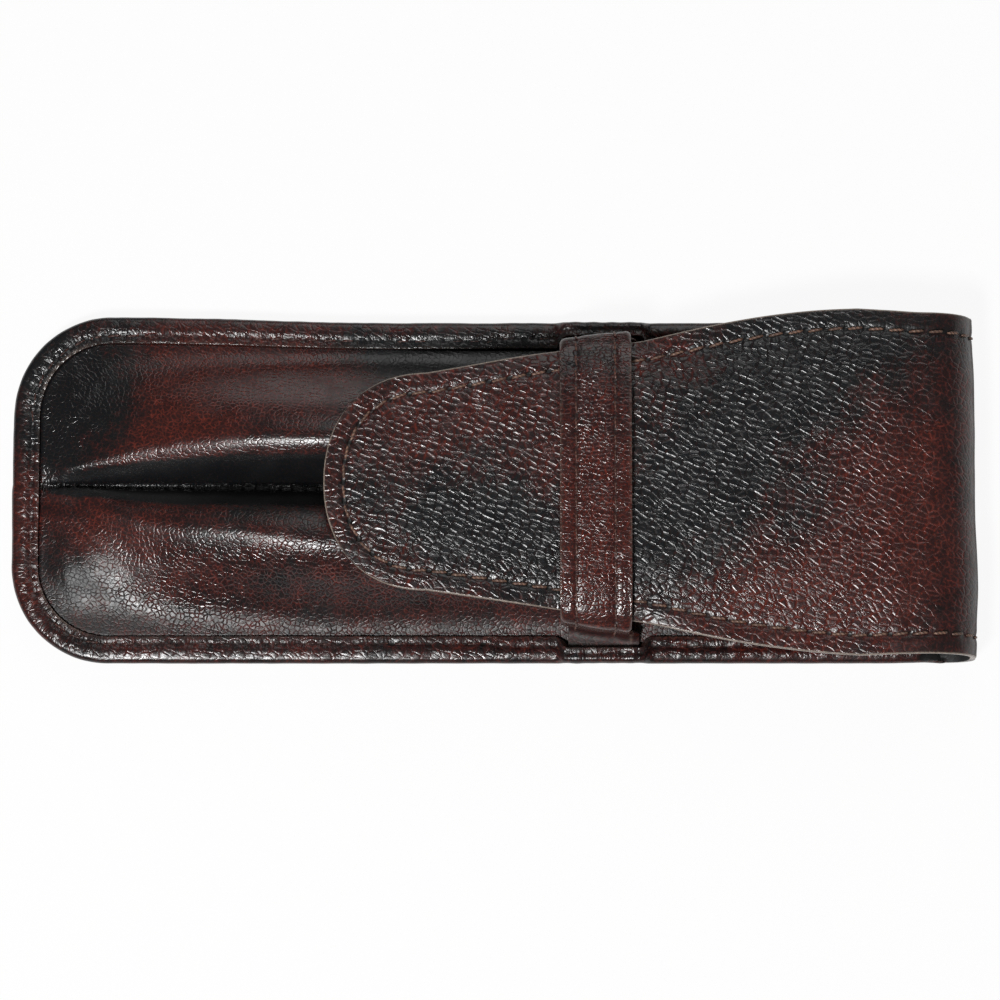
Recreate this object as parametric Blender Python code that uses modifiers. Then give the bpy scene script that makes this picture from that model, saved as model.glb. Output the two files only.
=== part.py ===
"""A leather pouch for two pens: a flat back that turns up over three edges, a front worked into
two pen pockets with a sewn valley between them, and a flap that folds round the mouth and runs
over the front to a rounded tongue, which is held under a sewn keeper band. Left and right are
as seen from the mouth.

Metres, +Z up. +X runs along the pens, from the closed end to the mouth. The pouch lies on its
back on z = 0, with the origin at the middle of its footprint.
"""

import math

import bmesh
import bpy
from mathutils import Matrix, Vector

# Overall size
BODY_LENGTH = 0.160
BODY_WIDTH = 0.057
CLOSED_CORNER_RADIUS = 0.014

# Leather and lining thicknesses, and the air kept between two layers
COVER_LEATHER = 0.0010
FRONT_LEATHER = 0.0009
BACK_LINING = 0.0004
POCKET_LINING = 0.0004
FLAP_LINING = 0.0006
LAYER_GAP = 0.0003

# The margin of the back cover that is turned up over the front
TURNED_WIDTH = 0.0044
TURNED_EDGE_RADIUS = 0.0008
BACK_LINING_INSET = 0.0020

# The two pen pockets of the front
POCKET_HEIGHT = 0.0109
POCKET_RISE_LENGTH = 0.050
POCKET_MARGIN_CLEARANCE = 0.0002
CREST_OFFSET = 0.0075
CREST_OFFSET_AT_APEX = 0.0012
VALLEY_HALF_WIDTH = 0.0016
VALLEY_HALF_WIDTH_AT_APEX = 0.0003
VALLEY_OPENING_LENGTH = 0.030
VALLEY_SKEW = 0.0012
MOUTH_SETBACK = 0.010
LINING_SETBACK = 0.0015
LINING_FOOT_CLEARANCE = 0.0010
LINING_START = 0.014

# The flap, which folds round the mouth in two creases
LOWER_CREASE_RADIUS = 0.0045
UPPER_CREASE_RADIUS = 0.0085
FLAP_EDGE_INSET = 0.0002
FLAP_LINING_INSET = 0.0015
FLAP_DROOP = 0.003
FLAP_DROOP_LENGTH = 0.045
PIECE_GAP = 0.0004
FLAP_LENGTH = 0.1087
NOSE_LENGTH = 0.017
NOSE_EDGE_INSET = 0.0105
TAPER_LENGTH = 0.071

# The keeper band over the tongue
KEEPER_WIDTH = 0.0117
KEEPER_FROM_FOLD = 0.063
KEEPER_LEATHER = 0.0009
KEEPER_LINING = 0.0004
KEEPER_BEND_RADIUS = 0.0022
KEEPER_FOOT_RADIUS = 0.0013
KEEPER_LINING_SKIRT = 0.0022
KEEPER_LIP_RAMP = 0.0012

# Sewing thread
THREAD_DIAMETER = 0.0005
EDGE_STITCH_INSET = 0.0032
FLAP_STITCH_INSET = 0.0033
KEEPER_STITCH_INSET = 0.0027
CREASE_STITCH_GAP = 0.0012
SEAM_STITCH_START = 0.0124

# How the rounded forms swell: 1 is a plain quarter of a sine or of an ellipse
RISE_POWER = 1.2
SLOPE_POWER = 1.15
NOSE_POWER = 2.2

# How finely the surfaces are divided
ROWS_ALONG_FRONT = 16
ROW_CROWDING = 1.5
COLUMNS_ON_SLOPE = 8
COLUMNS_ON_WALL = 6
ROWS_ALONG_LINING = 9
COLUMNS_ACROSS_LINING = 9
STEPS_PER_CORNER = 8
STEPS_PER_ROUND = 3
ROWS_ALONG_FLAP = 8
COLUMNS_ACROSS_FLAP = 10
STEPS_PER_CREASE = 4
STEPS_PER_BEND = 5
STEPS_OVER_KEEPER = 10
STEPS_ALONG_SEAM = 24

# Heights of the stacked layers
BACK_LINING_LOW = COVER_LEATHER + LAYER_GAP
FRONT_TOP = BACK_LINING_LOW + BACK_LINING + LAYER_GAP + FRONT_LEATHER
TURNED_TOP = FRONT_TOP + LAYER_GAP + COVER_LEATHER
TAIL_TOP = FRONT_TOP + LAYER_GAP + KEEPER_LEATHER
TURNED_LIFT = KEEPER_LEATHER + LAYER_GAP
FLAP_TOP = FRONT_TOP + POCKET_HEIGHT + LAYER_GAP + FLAP_LINING + LAYER_GAP + COVER_LEATHER
KEEPER_OVER_FLAP = LAYER_GAP + KEEPER_LINING + LAYER_GAP + KEEPER_LEATHER
LINING_DEPTH = COVER_LEATHER + LAYER_GAP
THREAD_LIFT = LAYER_GAP + THREAD_DIAMETER / 2

# Places along and across the pouch
CLOSED_X = -BODY_LENGTH / 2
FOLD_X = BODY_LENGTH / 2
MOUTH_X = FOLD_X - MOUTH_SETBACK
FRONT_LENGTH = MOUTH_X - CLOSED_X
HALF_WIDTH = BODY_WIDTH / 2
FRONT_EDGE_INSET = COVER_LEATHER + LAYER_GAP
FRONT_HALF_WIDTH = HALF_WIDTH - FRONT_EDGE_INSET
POCKET_HALF_WIDTH = HALF_WIDTH - TURNED_WIDTH - POCKET_MARGIN_CLEARANCE
CREASE_X = FOLD_X - LOWER_CREASE_RADIUS
FLAP_START_X = FOLD_X - UPPER_CREASE_RADIUS
LOWER_CREASE_CENTRE = (CREASE_X, LOWER_CREASE_RADIUS)
UPPER_CREASE_CENTRE = (FLAP_START_X, FLAP_TOP - UPPER_CREASE_RADIUS)
FLAP_HALF_WIDTH = HALF_WIDTH - FLAP_EDGE_INSET
NOSE_HALF_WIDTH = HALF_WIDTH - NOSE_EDGE_INSET
TIP_X = FOLD_X - FLAP_LENGTH
KEEPER_CENTRE = FOLD_X - KEEPER_FROM_FOLD
KEEPER_LEFT = KEEPER_CENTRE - KEEPER_WIDTH / 2
KEEPER_RIGHT = KEEPER_CENTRE + KEEPER_WIDTH / 2
TONGUE_END = KEEPER_RIGHT + LAYER_GAP
QUARTER = math.pi / 2
SHARP_EDGE = math.radians(50)

# Colour and roughness of each finish
RED_LEATHER = ((0.055, 0.016, 0.013), 0.40)
DARK_LEATHER = ((0.022, 0.014, 0.014), 0.38)
BROWN_LINING = ((0.045, 0.018, 0.014), 0.80)
BROWN_THREAD = ((0.120, 0.055, 0.035), 0.70)

COLLECTION = "Two pen pouch"


def mix(first, second, share):
    """The value that lies this share of the way from the first to the second."""
    return first + (second - first) * share


def rise(share):
    """0 where a swelling starts and 1 from where it is full, with a smooth shoulder."""
    return math.sin(QUARTER * min(max(share, 0.0), 1.0))


def arc(centre, radius, start, end, steps):
    """Points of a circular arc, as pairs, from one angle to another."""
    angles = [mix(start, end, step / steps) for step in range(steps + 1)]
    return [
        (centre[0] + radius * math.cos(angle), centre[1] + radius * math.sin(angle))
        for angle in angles
    ]


def material_for(name, finish):
    """The piece's own material, in one of the finishes."""
    colour, roughness = finish
    material = bpy.data.materials.new(name)
    material.use_nodes = True
    shader = material.node_tree.nodes["Principled BSDF"]
    shader.inputs["Base Color"].default_value = (*colour, 1.0)
    shader.inputs["Roughness"].default_value = roughness
    shader.inputs["Metallic"].default_value = 0.0
    return material


def add_piece(name, data, finish):
    """A piece of the pouch, in its own material."""
    data.materials.append(material_for(name, finish))
    piece = bpy.data.objects.new(name, data)
    bpy.data.collections[COLLECTION].objects.link(piece)
    return piece


def shell(name, bm, finish):
    """A piece made from an open surface, which is still without thickness."""
    mesh = bpy.data.meshes.new(name)
    bm.to_mesh(mesh)
    bm.free()
    mesh.shade_smooth()
    return add_piece(name, mesh, finish)


def sheet(name, rows, columns, place, outwards, finish):
    """A surface of rows by columns of faces, with place(row, column) giving each corner. Its
    first face looks outwards."""
    bm = bmesh.new()
    bmesh.ops.create_grid(bm, x_segments=rows, y_segments=columns, size=1.0)
    for vertex in bm.verts:
        row = round((vertex.co.x + 1.0) / 2.0 * rows)
        column = round((vertex.co.y + 1.0) / 2.0 * columns)
        vertex.co = place(row, column)
    piece = shell(name, bm, finish)
    if piece.data.polygons[0].normal.dot(Vector(outwards)) < 0:
        piece.data.flip_normals()
    return piece


def thicken(piece, thickness, depth=0.0):
    """Gives a surface its thickness on its inner side, starting this deep below it."""
    if depth:
        sink = piece.modifiers.new("Sink", "DISPLACE")
        sink.direction = "NORMAL"
        sink.mid_level = 0.0
        sink.strength = -depth
    wall = piece.modifiers.new("Leather", "SOLIDIFY")
    wall.thickness = thickness
    wall.offset = -1.0
    wall.use_even_offset = True
    piece.data.set_sharp_from_angle(angle=SHARP_EDGE)


def thread(name, points):
    """A sewing thread laid along the points."""
    curve = bpy.data.curves.new(name, "CURVE")
    curve.dimensions = "3D"
    curve.bevel_depth = THREAD_DIAMETER / 2
    curve.bevel_resolution = 1
    curve.use_fill_caps = True
    spline = curve.splines.new("POLY")
    spline.points.add(len(points) - 1)
    for knot, point in zip(spline.points, points):
        knot.co = (*point, 1.0)
    return add_piece(name, curve, BROWN_THREAD)


def closed_end_x(inset, y):
    """Where the rounded closed end lies at this y, on an outline drawn in by inset."""
    radius = CLOSED_CORNER_RADIUS - inset
    past_corner = max(0.0, abs(y) - (HALF_WIDTH - inset - radius))
    return CLOSED_X + inset + radius - math.sqrt(max(radius**2 - past_corner**2, 0.0))


def taper_half_width(x):
    """Half the flap's width at x, on its straight taper and past it."""
    share = (x - TIP_X - NOSE_LENGTH) / TAPER_LENGTH
    return mix(NOSE_HALF_WIDTH, FLAP_HALF_WIDTH, min(share, 1.0))


def keeper_wall(x):
    """How far from the middle the keeper's side stands at x."""
    return taper_half_width(x) + KEEPER_OVER_FLAP


def keeper_lip_width():
    """How wide the turned margin still is where the keeper's tails go in under it."""
    return HALF_WIDTH - keeper_wall(KEEPER_RIGHT) - KEEPER_FOOT_RADIUS


def over_keeper(x):
    """1 where the turned margin lies over the keeper's tails, 0 away from them."""
    outside = abs(x - KEEPER_CENTRE) - KEEPER_WIDTH / 2 - LAYER_GAP
    return 1.0 - min(max(outside / KEEPER_LIP_RAMP, 0.0), 1.0)


def rim_stations():
    """Places along the turned edge, from the mouth on -Y round to the mouth on +Y. Each is the
    centre of the corner's curve, or of the same curve moved along a side, and the angle from
    there to the edge."""
    near = KEEPER_WIDTH / 2 + LAYER_GAP
    far = near + KEEPER_LIP_RAMP
    corner_x = CLOSED_X + CLOSED_CORNER_RADIUS
    corner_y = HALF_WIDTH - CLOSED_CORNER_RADIUS
    stops = [MOUTH_X]
    stops += [KEEPER_CENTRE + reach for reach in (far, near, -near, -far)]
    half = [((x, -corner_y), -QUARTER) for x in stops]
    turns = [mix(QUARTER, 2 * QUARTER, n / STEPS_PER_CORNER) for n in range(STEPS_PER_CORNER + 1)]
    half += [((corner_x, -corner_y), -turn) for turn in turns]
    return half + [((x, -y), -angle) for (x, y), angle in reversed(half)]


def rim_point(station, inset, z):
    """A point on the rim, this far in from the edge."""
    (x, y), angle = station
    reach = CLOSED_CORNER_RADIUS - inset
    return Vector((x + reach * math.cos(angle), y + reach * math.sin(angle), z))


def rim_section(x):
    """The inset and height of the turned edge's outer surface, from under the pouch to its lip."""
    covered = over_keeper(x)
    radius = TURNED_EDGE_RADIUS
    top = TURNED_TOP + TURNED_LIFT * covered
    lip = mix(TURNED_WIDTH, keeper_lip_width(), covered)
    lower = arc((radius, radius), radius, 3 * QUARTER, 2 * QUARTER, STEPS_PER_ROUND)
    upper = arc((radius, top - radius), radius, 2 * QUARTER, QUARTER, STEPS_PER_ROUND)
    return lower + upper + [(mix(radius, lip, 0.5), top), (lip, top)]


def make_back_cover():
    """The back, its three turned margins and the first half of the lower crease, in one skin."""
    stations = rim_stations()
    sections = [rim_section(centre[0]) for centre, _ in stations]
    rows, columns = len(stations) - 1, len(sections[0]) - 1
    bm = bmesh.new()
    bmesh.ops.create_grid(bm, x_segments=rows, y_segments=columns, size=1.0)
    hem = {}
    for vertex in bm.verts:
        row = round((vertex.co.x + 1.0) / 2.0 * rows)
        column = round((vertex.co.y + 1.0) / 2.0 * columns)
        vertex.co = rim_point(stations[row], *sections[row][column])
        if column == 0:
            hem[row] = vertex
    crease = [bm.verts.new((CREASE_X, side * FLAP_HALF_WIDTH, 0.0)) for side in (1, -1)]
    bm.faces.new([hem[row] for row in range(rows + 1)] + crease)
    bmesh.ops.spin(
        bm,
        geom=[bm.edges.get(crease), *crease],
        cent=(LOWER_CREASE_CENTRE[0], 0.0, LOWER_CREASE_CENTRE[1]),
        axis=(0.0, -1.0, 0.0),
        angle=QUARTER / 2 - PIECE_GAP / 2 / LOWER_CREASE_RADIUS,
        steps=STEPS_PER_CREASE,
    )
    bmesh.ops.recalc_face_normals(bm, faces=bm.faces)
    cover = shell("back_cover", bm, DARK_LEATHER)
    underside = max(cover.data.polygons, key=lambda face: len(face.vertices))
    if underside.normal.z > 0:
        cover.data.flip_normals()
    thicken(cover, COVER_LEATHER)


def make_back_lining():
    """A thin lining on the inside of the back, as far as the lower crease."""
    outline = bpy.data.curves.new("back_lining", "CURVE")
    outline.dimensions = "2D"
    outline.fill_mode = "BOTH"
    outline.extrude = BACK_LINING / 2
    radius = CLOSED_CORNER_RADIUS - BACK_LINING_INSET
    centre = (CLOSED_X + CLOSED_CORNER_RADIUS, HALF_WIDTH - CLOSED_CORNER_RADIUS)
    half = [(CREASE_X, HALF_WIDTH - BACK_LINING_INSET)]
    half += arc(centre, radius, QUARTER, 2 * QUARTER, STEPS_PER_CORNER)
    points = half + [(x, -y) for x, y in reversed(half)]
    spline = outline.splines.new("POLY")
    spline.points.add(len(points) - 1)
    spline.use_cyclic_u = True
    for knot, (x, y) in zip(spline.points, points):
        knot.co = (x, y, 0.0, 1.0)
    lining = add_piece("back_lining", outline, BROWN_LINING)
    lining.location.z = BACK_LINING_LOW + BACK_LINING / 2


def front_point(along, side, across):
    """A point on the front's outer surface. along runs from the closed end (0) to the mouth (1).
    across runs over one pocket: 0 to 1 over the sewn margin, to 2 up the slope to the crest, and
    to 3 down the wall to the valley."""
    from_apex = along * (FRONT_LENGTH - FRONT_EDGE_INSET) - (TURNED_WIDTH - FRONT_EDGE_INSET)
    open_share = rise(from_apex / VALLEY_OPENING_LENGTH)
    crest = mix(CREST_OFFSET_AT_APEX, CREST_OFFSET, open_share)
    valley = mix(VALLEY_HALF_WIDTH_AT_APEX, VALLEY_HALF_WIDTH, open_share)
    if across <= 1:
        off, height_share = mix(FRONT_HALF_WIDTH, POCKET_HALF_WIDTH, across), 0.0
    elif across <= 2:
        off = mix(POCKET_HALF_WIDTH, crest, across - 1)
        height_share = rise(across - 1) ** SLOPE_POWER
    else:
        turn = (3 - across) * QUARTER
        off, height_share = mix(valley, crest, 1 - math.cos(turn)), math.sin(turn)
    skew = VALLEY_SKEW * (1 - along) * max(0.0, 1 - off / POCKET_HALF_WIDTH)
    y = side * off + skew
    x = mix(closed_end_x(FRONT_EDGE_INSET, y), MOUTH_X, along)
    from_margin = x - closed_end_x(TURNED_WIDTH, y)
    swell_share = rise(from_margin / POCKET_RISE_LENGTH) ** RISE_POWER
    return Vector((x, y, FRONT_TOP + POCKET_HEIGHT * swell_share * height_share))


def crowded(step, steps):
    """The share of the length at which a step lies, closer together by the closed end."""
    return (step / steps) ** ROW_CROWDING


def make_front_panel():
    """One piece of leather over both pockets, sewn down in the valley between them."""
    across = [0.0]
    across += [1 + step / COLUMNS_ON_SLOPE for step in range(COLUMNS_ON_SLOPE + 1)]
    across += [2 + step / COLUMNS_ON_WALL for step in range(1, COLUMNS_ON_WALL + 1)]
    columns = [(-1, share) for share in across] + [(1, share) for share in reversed(across)]

    def place(row, column):
        return front_point(crowded(row, ROWS_ALONG_FRONT), *columns[column])

    panel = sheet(
        "front_panel", ROWS_ALONG_FRONT, len(columns) - 1, place, (0, 0, 1), RED_LEATHER
    )
    thicken(panel, FRONT_LEATHER)


def make_pocket_lining(name, side):
    """The lining of one pocket, from where it is deep enough for a pen to near the mouth."""
    start = LINING_START / FRONT_LENGTH
    end = 1 - LINING_SETBACK / FRONT_LENGTH
    wall_end = 3 - 1 / COLUMNS_ON_WALL

    def place(row, column):
        along = mix(start, end, crowded(row, ROWS_ALONG_LINING))
        crest = front_point(along, side, 2)
        foot_share = min(LINING_FOOT_CLEARANCE / (crest.z - FRONT_TOP), 1.0)
        foot = 1 + math.asin(foot_share ** (1 / SLOPE_POWER)) / QUARTER
        return front_point(along, side, mix(foot, wall_end, column / COLUMNS_ACROSS_LINING))

    lining = sheet(
        name, ROWS_ALONG_LINING, COLUMNS_ACROSS_LINING, place, (0, 0, 1), BROWN_LINING
    )
    thicken(lining, POCKET_LINING, FRONT_LEATHER + LAYER_GAP)


def droop(x, y):
    """How far the flap hangs below its ridge line, past the pockets' crests."""
    past_share = max(0.0, abs(y) - CREST_OFFSET) / (FLAP_HALF_WIDTH - CREST_OFFSET)
    return FLAP_DROOP * rise((FLAP_START_X - x) / FLAP_DROOP_LENGTH) * past_share**2


def flap_point(x, y, depth):
    """A point of the flap's flat part, this deep below its outer surface."""
    return Vector((x, y, FLAP_TOP - depth - droop(x, y)))


def lower_crease(depth, gap):
    """The x and z of the upper half of the lower crease, where the fold starts, this deep in the
    leather. It stays this far from the cut in the middle of the crease."""
    radius = LOWER_CREASE_RADIUS - depth
    start = -QUARTER / 2 + gap / radius
    return arc(LOWER_CREASE_CENTRE, radius, start, 0.0, STEPS_PER_CREASE)


def fold_profile(depth, gap):
    """The x and z of the piece that stands in front of the mouth, as far as the cut in the
    middle of the upper crease."""
    radius = UPPER_CREASE_RADIUS - depth
    end = QUARTER / 2 - gap / radius
    upper = arc(UPPER_CREASE_CENTRE, radius, 0.0, end, STEPS_PER_CREASE)
    return lower_crease(depth, gap) + upper


def flap_start(depth, gap):
    """The x and z of the upper half of the upper crease, where the flap starts."""
    radius = UPPER_CREASE_RADIUS - depth
    start = QUARTER / 2 + gap / radius
    return arc(UPPER_CREASE_CENTRE, radius, start, QUARTER, STEPS_PER_CREASE)


def make_fold(name, inset, depth, thickness, finish):
    """The cover or the lining that goes up in front of the mouth, between the two creases."""
    profile = fold_profile(depth, PIECE_GAP / 2)
    half = FLAP_HALF_WIDTH - inset

    def place(row, column):
        x, z = profile[row]
        return Vector((x, mix(-half, half, column), z))

    thicken(sheet(name, len(profile) - 1, 1, place, (1, 0, 0), finish), thickness)


def make_flap(name, inset, depth, thickness, finish):
    """The cover or the lining over the mouth end of the front, as far as the keeper."""
    crease = flap_start(depth, PIECE_GAP / 2)
    steps = range(1, ROWS_ALONG_FLAP + 1)
    flat = [mix(FLAP_START_X, TONGUE_END, step / ROWS_ALONG_FLAP) for step in steps]

    def place(row, column):
        share = mix(-1.0, 1.0, column / COLUMNS_ACROSS_FLAP)
        if row < len(crease):
            x, z = crease[row]
            return Vector((x, share * (FLAP_HALF_WIDTH - inset), z))
        x = flat[row - len(crease)]
        return flap_point(x, share * (taper_half_width(x) - inset), depth)

    rows = len(crease) + len(flat) - 1
    thicken(sheet(name, rows, COLUMNS_ACROSS_FLAP, place, (1, 0, 1), finish), thickness)


def nose_x(width_share, inset):
    """Where the rounded nose starts, for a line that keeps this share of the flap's width."""
    round_share = (1 - abs(width_share) ** NOSE_POWER) ** (1 / NOSE_POWER)
    return TIP_X + inset + (NOSE_LENGTH - inset) * (1 - round_share)


def make_tongue(name, inset, depth, thickness, finish):
    """The cover or the lining of the tongue, from the rounded nose to behind the keeper."""

    def place(row, column):
        width_share = math.sin(mix(-QUARTER, QUARTER, column / COLUMNS_ACROSS_FLAP))
        x = mix(nose_x(width_share, inset), TONGUE_END - PIECE_GAP, row / ROWS_ALONG_FLAP)
        return flap_point(x, width_share * (taper_half_width(x) - inset), depth)

    tongue = sheet(name, ROWS_ALONG_FLAP, COLUMNS_ACROSS_FLAP, place, (0, 0, 1), finish)
    thicken(tongue, thickness)


def keeper_half(x):
    """Half of the keeper's outer line at x, as y and z: its arch, its bend, and the foot and
    tail that run in under the turned margin."""
    wall = keeper_wall(x)
    shoulder = wall - KEEPER_BEND_RADIUS
    top = FLAP_TOP + KEEPER_OVER_FLAP
    offs = [mix(0.0, shoulder, step / STEPS_OVER_KEEPER) for step in range(STEPS_OVER_KEEPER)]
    arch = [(y, top - droop(x, y)) for y in offs]
    bend_z = top - droop(x, shoulder) - KEEPER_BEND_RADIUS
    bend = arc((shoulder, bend_z), KEEPER_BEND_RADIUS, QUARTER, 0.0, STEPS_PER_BEND)
    centre = (wall + KEEPER_FOOT_RADIUS, TAIL_TOP + KEEPER_FOOT_RADIUS)
    foot = arc(centre, KEEPER_FOOT_RADIUS, 2 * QUARTER, 3 * QUARTER, STEPS_PER_BEND)
    return arch, bend, foot + [(FRONT_HALF_WIDTH, TAIL_TOP)]


def over_both_sides(half):
    """A line from its middle out, with its mirror image before it."""
    return [(-y, z) for y, z in reversed(half[1:])] + half


def keeper_line(x):
    """The keeper's outer line at x, from one tail's end to the other's."""
    arch, bend, foot = keeper_half(x)
    return over_both_sides(arch + bend + foot)


def keeper_lining_line(x):
    """The same line, as far as it is lined: the arch, the bends and a short skirt below them."""
    arch, bend, _ = keeper_half(x)
    wall, bend_end = bend[-1]
    return over_both_sides(arch + bend + [(wall, bend_end - KEEPER_LINING_SKIRT)])


def make_strap(name, line, depth, thickness, finish):
    """A strap across the pouch, which is as wide as the keeper."""
    edges = [(x, line(x)) for x in (KEEPER_LEFT, KEEPER_RIGHT)]

    def place(row, column):
        x, points = edges[column]
        return Vector((x, *points[row]))

    rows = len(edges[0][1]) - 1
    thicken(sheet(name, rows, 1, place, (0, -1, 1), finish), thickness, depth)


def make_keeper_stitching(name, x):
    """A row of stitching along the keeper's arch and round its bends."""
    arch, bend, _ = keeper_half(x)
    line = [Vector((x, y, z)) for y, z in over_both_sides(arch + bend)]
    points = []
    for before, point, after in zip(line[:1] + line, line, line[1:] + line[-1:]):
        outwards = Vector((1, 0, 0)).cross(after - before).normalized()
        points.append(point + outwards * THREAD_LIFT)
    thread(name, points)


def make_edge_stitching():
    """The row through the turned margin, round three sides of the pouch."""
    points = []
    for station in rim_stations():
        covered = over_keeper(station[0][0])
        inset = mix(EDGE_STITCH_INSET, keeper_lip_width() / 2, covered)
        points.append(rim_point(station, inset, TURNED_TOP + TURNED_LIFT * covered + THREAD_LIFT))
    for end in (points[0], points[-1]):
        end.x -= THREAD_DIAMETER
    thread("edge_stitching", points)


def make_seam_stitching():
    """The row along the floor of the valley, which joins the front to the back."""
    start = SEAM_STITCH_START / FRONT_LENGTH
    end = 1 - THREAD_DIAMETER / FRONT_LENGTH
    points = []
    for step in range(STEPS_ALONG_SEAM + 1):
        along = mix(start, end, step / STEPS_ALONG_SEAM)
        middle = (front_point(along, -1, 3) + front_point(along, 1, 3)) / 2
        points.append(middle + Vector((0, 0, THREAD_LIFT)))
    thread("seam_stitching", points)


def make_fold_stitching(name, side):
    """The row near one edge of the piece in front of the mouth."""
    y = side * (FLAP_HALF_WIDTH - FLAP_STITCH_INSET)
    thread(name, [(x, y, z) for x, z in fold_profile(-THREAD_LIFT, CREASE_STITCH_GAP)])


def make_flap_stitching(name, side):
    """The row near one edge of the flap, from the upper crease to the keeper."""
    edge = side * (FLAP_HALF_WIDTH - FLAP_STITCH_INSET)
    points = [Vector((x, edge, z)) for x, z in flap_start(-THREAD_LIFT, CREASE_STITCH_GAP)]
    for step in range(1, ROWS_ALONG_FLAP + 1):
        x = mix(FLAP_START_X, TONGUE_END + THREAD_DIAMETER, step / ROWS_ALONG_FLAP)
        y = side * (taper_half_width(x) - FLAP_STITCH_INSET)
        points.append(flap_point(x, y, -THREAD_LIFT))
    thread(name, points)


def make_tongue_stitching(name, side):
    """One side's row on the tongue, from the middle of the nose to in front of the keeper."""
    first_turn = math.asin(THREAD_DIAMETER / NOSE_HALF_WIDTH)
    points = []
    for step in range(STEPS_PER_CORNER + 1):
        width_share = math.sin(mix(first_turn, QUARTER, step / STEPS_PER_CORNER))
        x = nose_x(width_share, FLAP_STITCH_INSET)
        y = side * width_share * (taper_half_width(x) - FLAP_STITCH_INSET)
        points.append(flap_point(x, y, -THREAD_LIFT))
    end = KEEPER_LEFT - LAYER_GAP
    y = side * (taper_half_width(end) - FLAP_STITCH_INSET)
    points.append(flap_point(end, y, -THREAD_LIFT))
    thread(name, points)


def make_hinge(name, crease_centre, radius, turn, words):
    """An empty on the line about which pieces turn: the outside of the leather, at the cut in
    the middle of a crease. The pieces whose names start with one of the words hang on it."""
    hinge = bpy.data.objects.new(name, None)
    bpy.data.collections[COLLECTION].objects.link(hinge)
    x, z = arc(crease_centre, radius, turn, turn, 1)[0]
    place = Matrix.Translation((x, 0.0, z))
    hinge.matrix_world = place
    for piece in bpy.data.collections[COLLECTION].objects:
        if piece.name.startswith(words) and piece is not hinge:
            piece.parent = hinge
            piece.matrix_parent_inverse = place.inverted()
    return hinge


def main():
    for obj in list(bpy.data.objects):
        bpy.data.objects.remove(obj)
    collection = bpy.data.collections.new(COLLECTION)
    bpy.context.scene.collection.children.link(collection)

    make_back_cover()
    make_back_lining()
    make_front_panel()
    make_strap("keeper_band", keeper_line, 0.0, KEEPER_LEATHER, RED_LEATHER)
    under_band = KEEPER_LEATHER + LAYER_GAP
    make_strap("keeper_lining", keeper_lining_line, under_band, KEEPER_LINING, BROWN_LINING)
    for kind, make in (("fold", make_fold), ("flap", make_flap), ("tongue", make_tongue)):
        make(f"{kind}_cover", 0.0, 0.0, COVER_LEATHER, RED_LEATHER)
        make(f"{kind}_lining", FLAP_LINING_INSET, LINING_DEPTH, FLAP_LINING, BROWN_LINING)
    make_edge_stitching()
    make_seam_stitching()
    make_keeper_stitching("keeper_stitching_front", KEEPER_LEFT + KEEPER_STITCH_INSET)
    make_keeper_stitching("keeper_stitching_rear", KEEPER_RIGHT - KEEPER_STITCH_INSET)
    for side, word in ((-1, "left"), (1, "right")):
        make_pocket_lining(f"pocket_lining_{word}", side)
        make_fold_stitching(f"fold_stitching_{word}", side)
        make_flap_stitching(f"flap_stitching_{word}", side)
        make_tongue_stitching(f"tongue_stitching_{word}", side)
    make_hinge("fold_hinge", LOWER_CREASE_CENTRE, LOWER_CREASE_RADIUS, -QUARTER / 2, ("fold_",))
    make_hinge(
        "flap_hinge", UPPER_CREASE_CENTRE, UPPER_CREASE_RADIUS, QUARTER / 2, ("flap_", "tongue_")
    )


main()
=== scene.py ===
"""Dresses a leather pouch for two pens: grained and antiqued leather, turned and gathered margins,
a flap that bends in two creases, a keeper band, linings and every stitch, with a stage to show it.

Metres, +Z up. +X runs along the pens, from the closed end to the mouth and the fold. The pouch lies
on its back on z = 0, and -Y is the lower side of the picture.
"""

import math

import bmesh
import bpy
import numpy as np
from bpy.props import FloatProperty, FloatVectorProperty, PointerProperty
from mathutils import Matrix, Vector, noise
from mathutils.kdtree import KDTree


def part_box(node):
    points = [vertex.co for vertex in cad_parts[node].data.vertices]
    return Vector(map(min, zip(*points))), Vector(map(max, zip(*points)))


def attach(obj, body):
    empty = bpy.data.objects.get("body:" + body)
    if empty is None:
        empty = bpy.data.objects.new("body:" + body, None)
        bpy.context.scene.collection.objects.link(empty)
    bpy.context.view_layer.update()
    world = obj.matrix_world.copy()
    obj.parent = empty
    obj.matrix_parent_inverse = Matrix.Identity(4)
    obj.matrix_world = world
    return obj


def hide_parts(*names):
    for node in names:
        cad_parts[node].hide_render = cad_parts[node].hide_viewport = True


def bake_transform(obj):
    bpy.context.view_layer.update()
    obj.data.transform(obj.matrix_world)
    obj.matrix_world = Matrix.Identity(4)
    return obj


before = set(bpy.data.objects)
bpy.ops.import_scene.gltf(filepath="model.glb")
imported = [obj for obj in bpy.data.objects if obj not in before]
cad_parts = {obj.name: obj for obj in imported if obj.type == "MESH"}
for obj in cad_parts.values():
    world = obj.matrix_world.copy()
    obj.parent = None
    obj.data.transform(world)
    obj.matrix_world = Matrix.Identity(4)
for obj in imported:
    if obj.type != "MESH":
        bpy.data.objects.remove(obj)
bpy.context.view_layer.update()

bl_info = {
    "name": "Two Pen Pouch",
    "version": (1, 0, 0),
    "blender": (4, 5, 0),
    "location": "View3D > Sidebar > Pouch",
    "description": "Models a stitched leather pouch for two pens, and the stage it lies on",
    "category": "Add Mesh",
}

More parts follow.
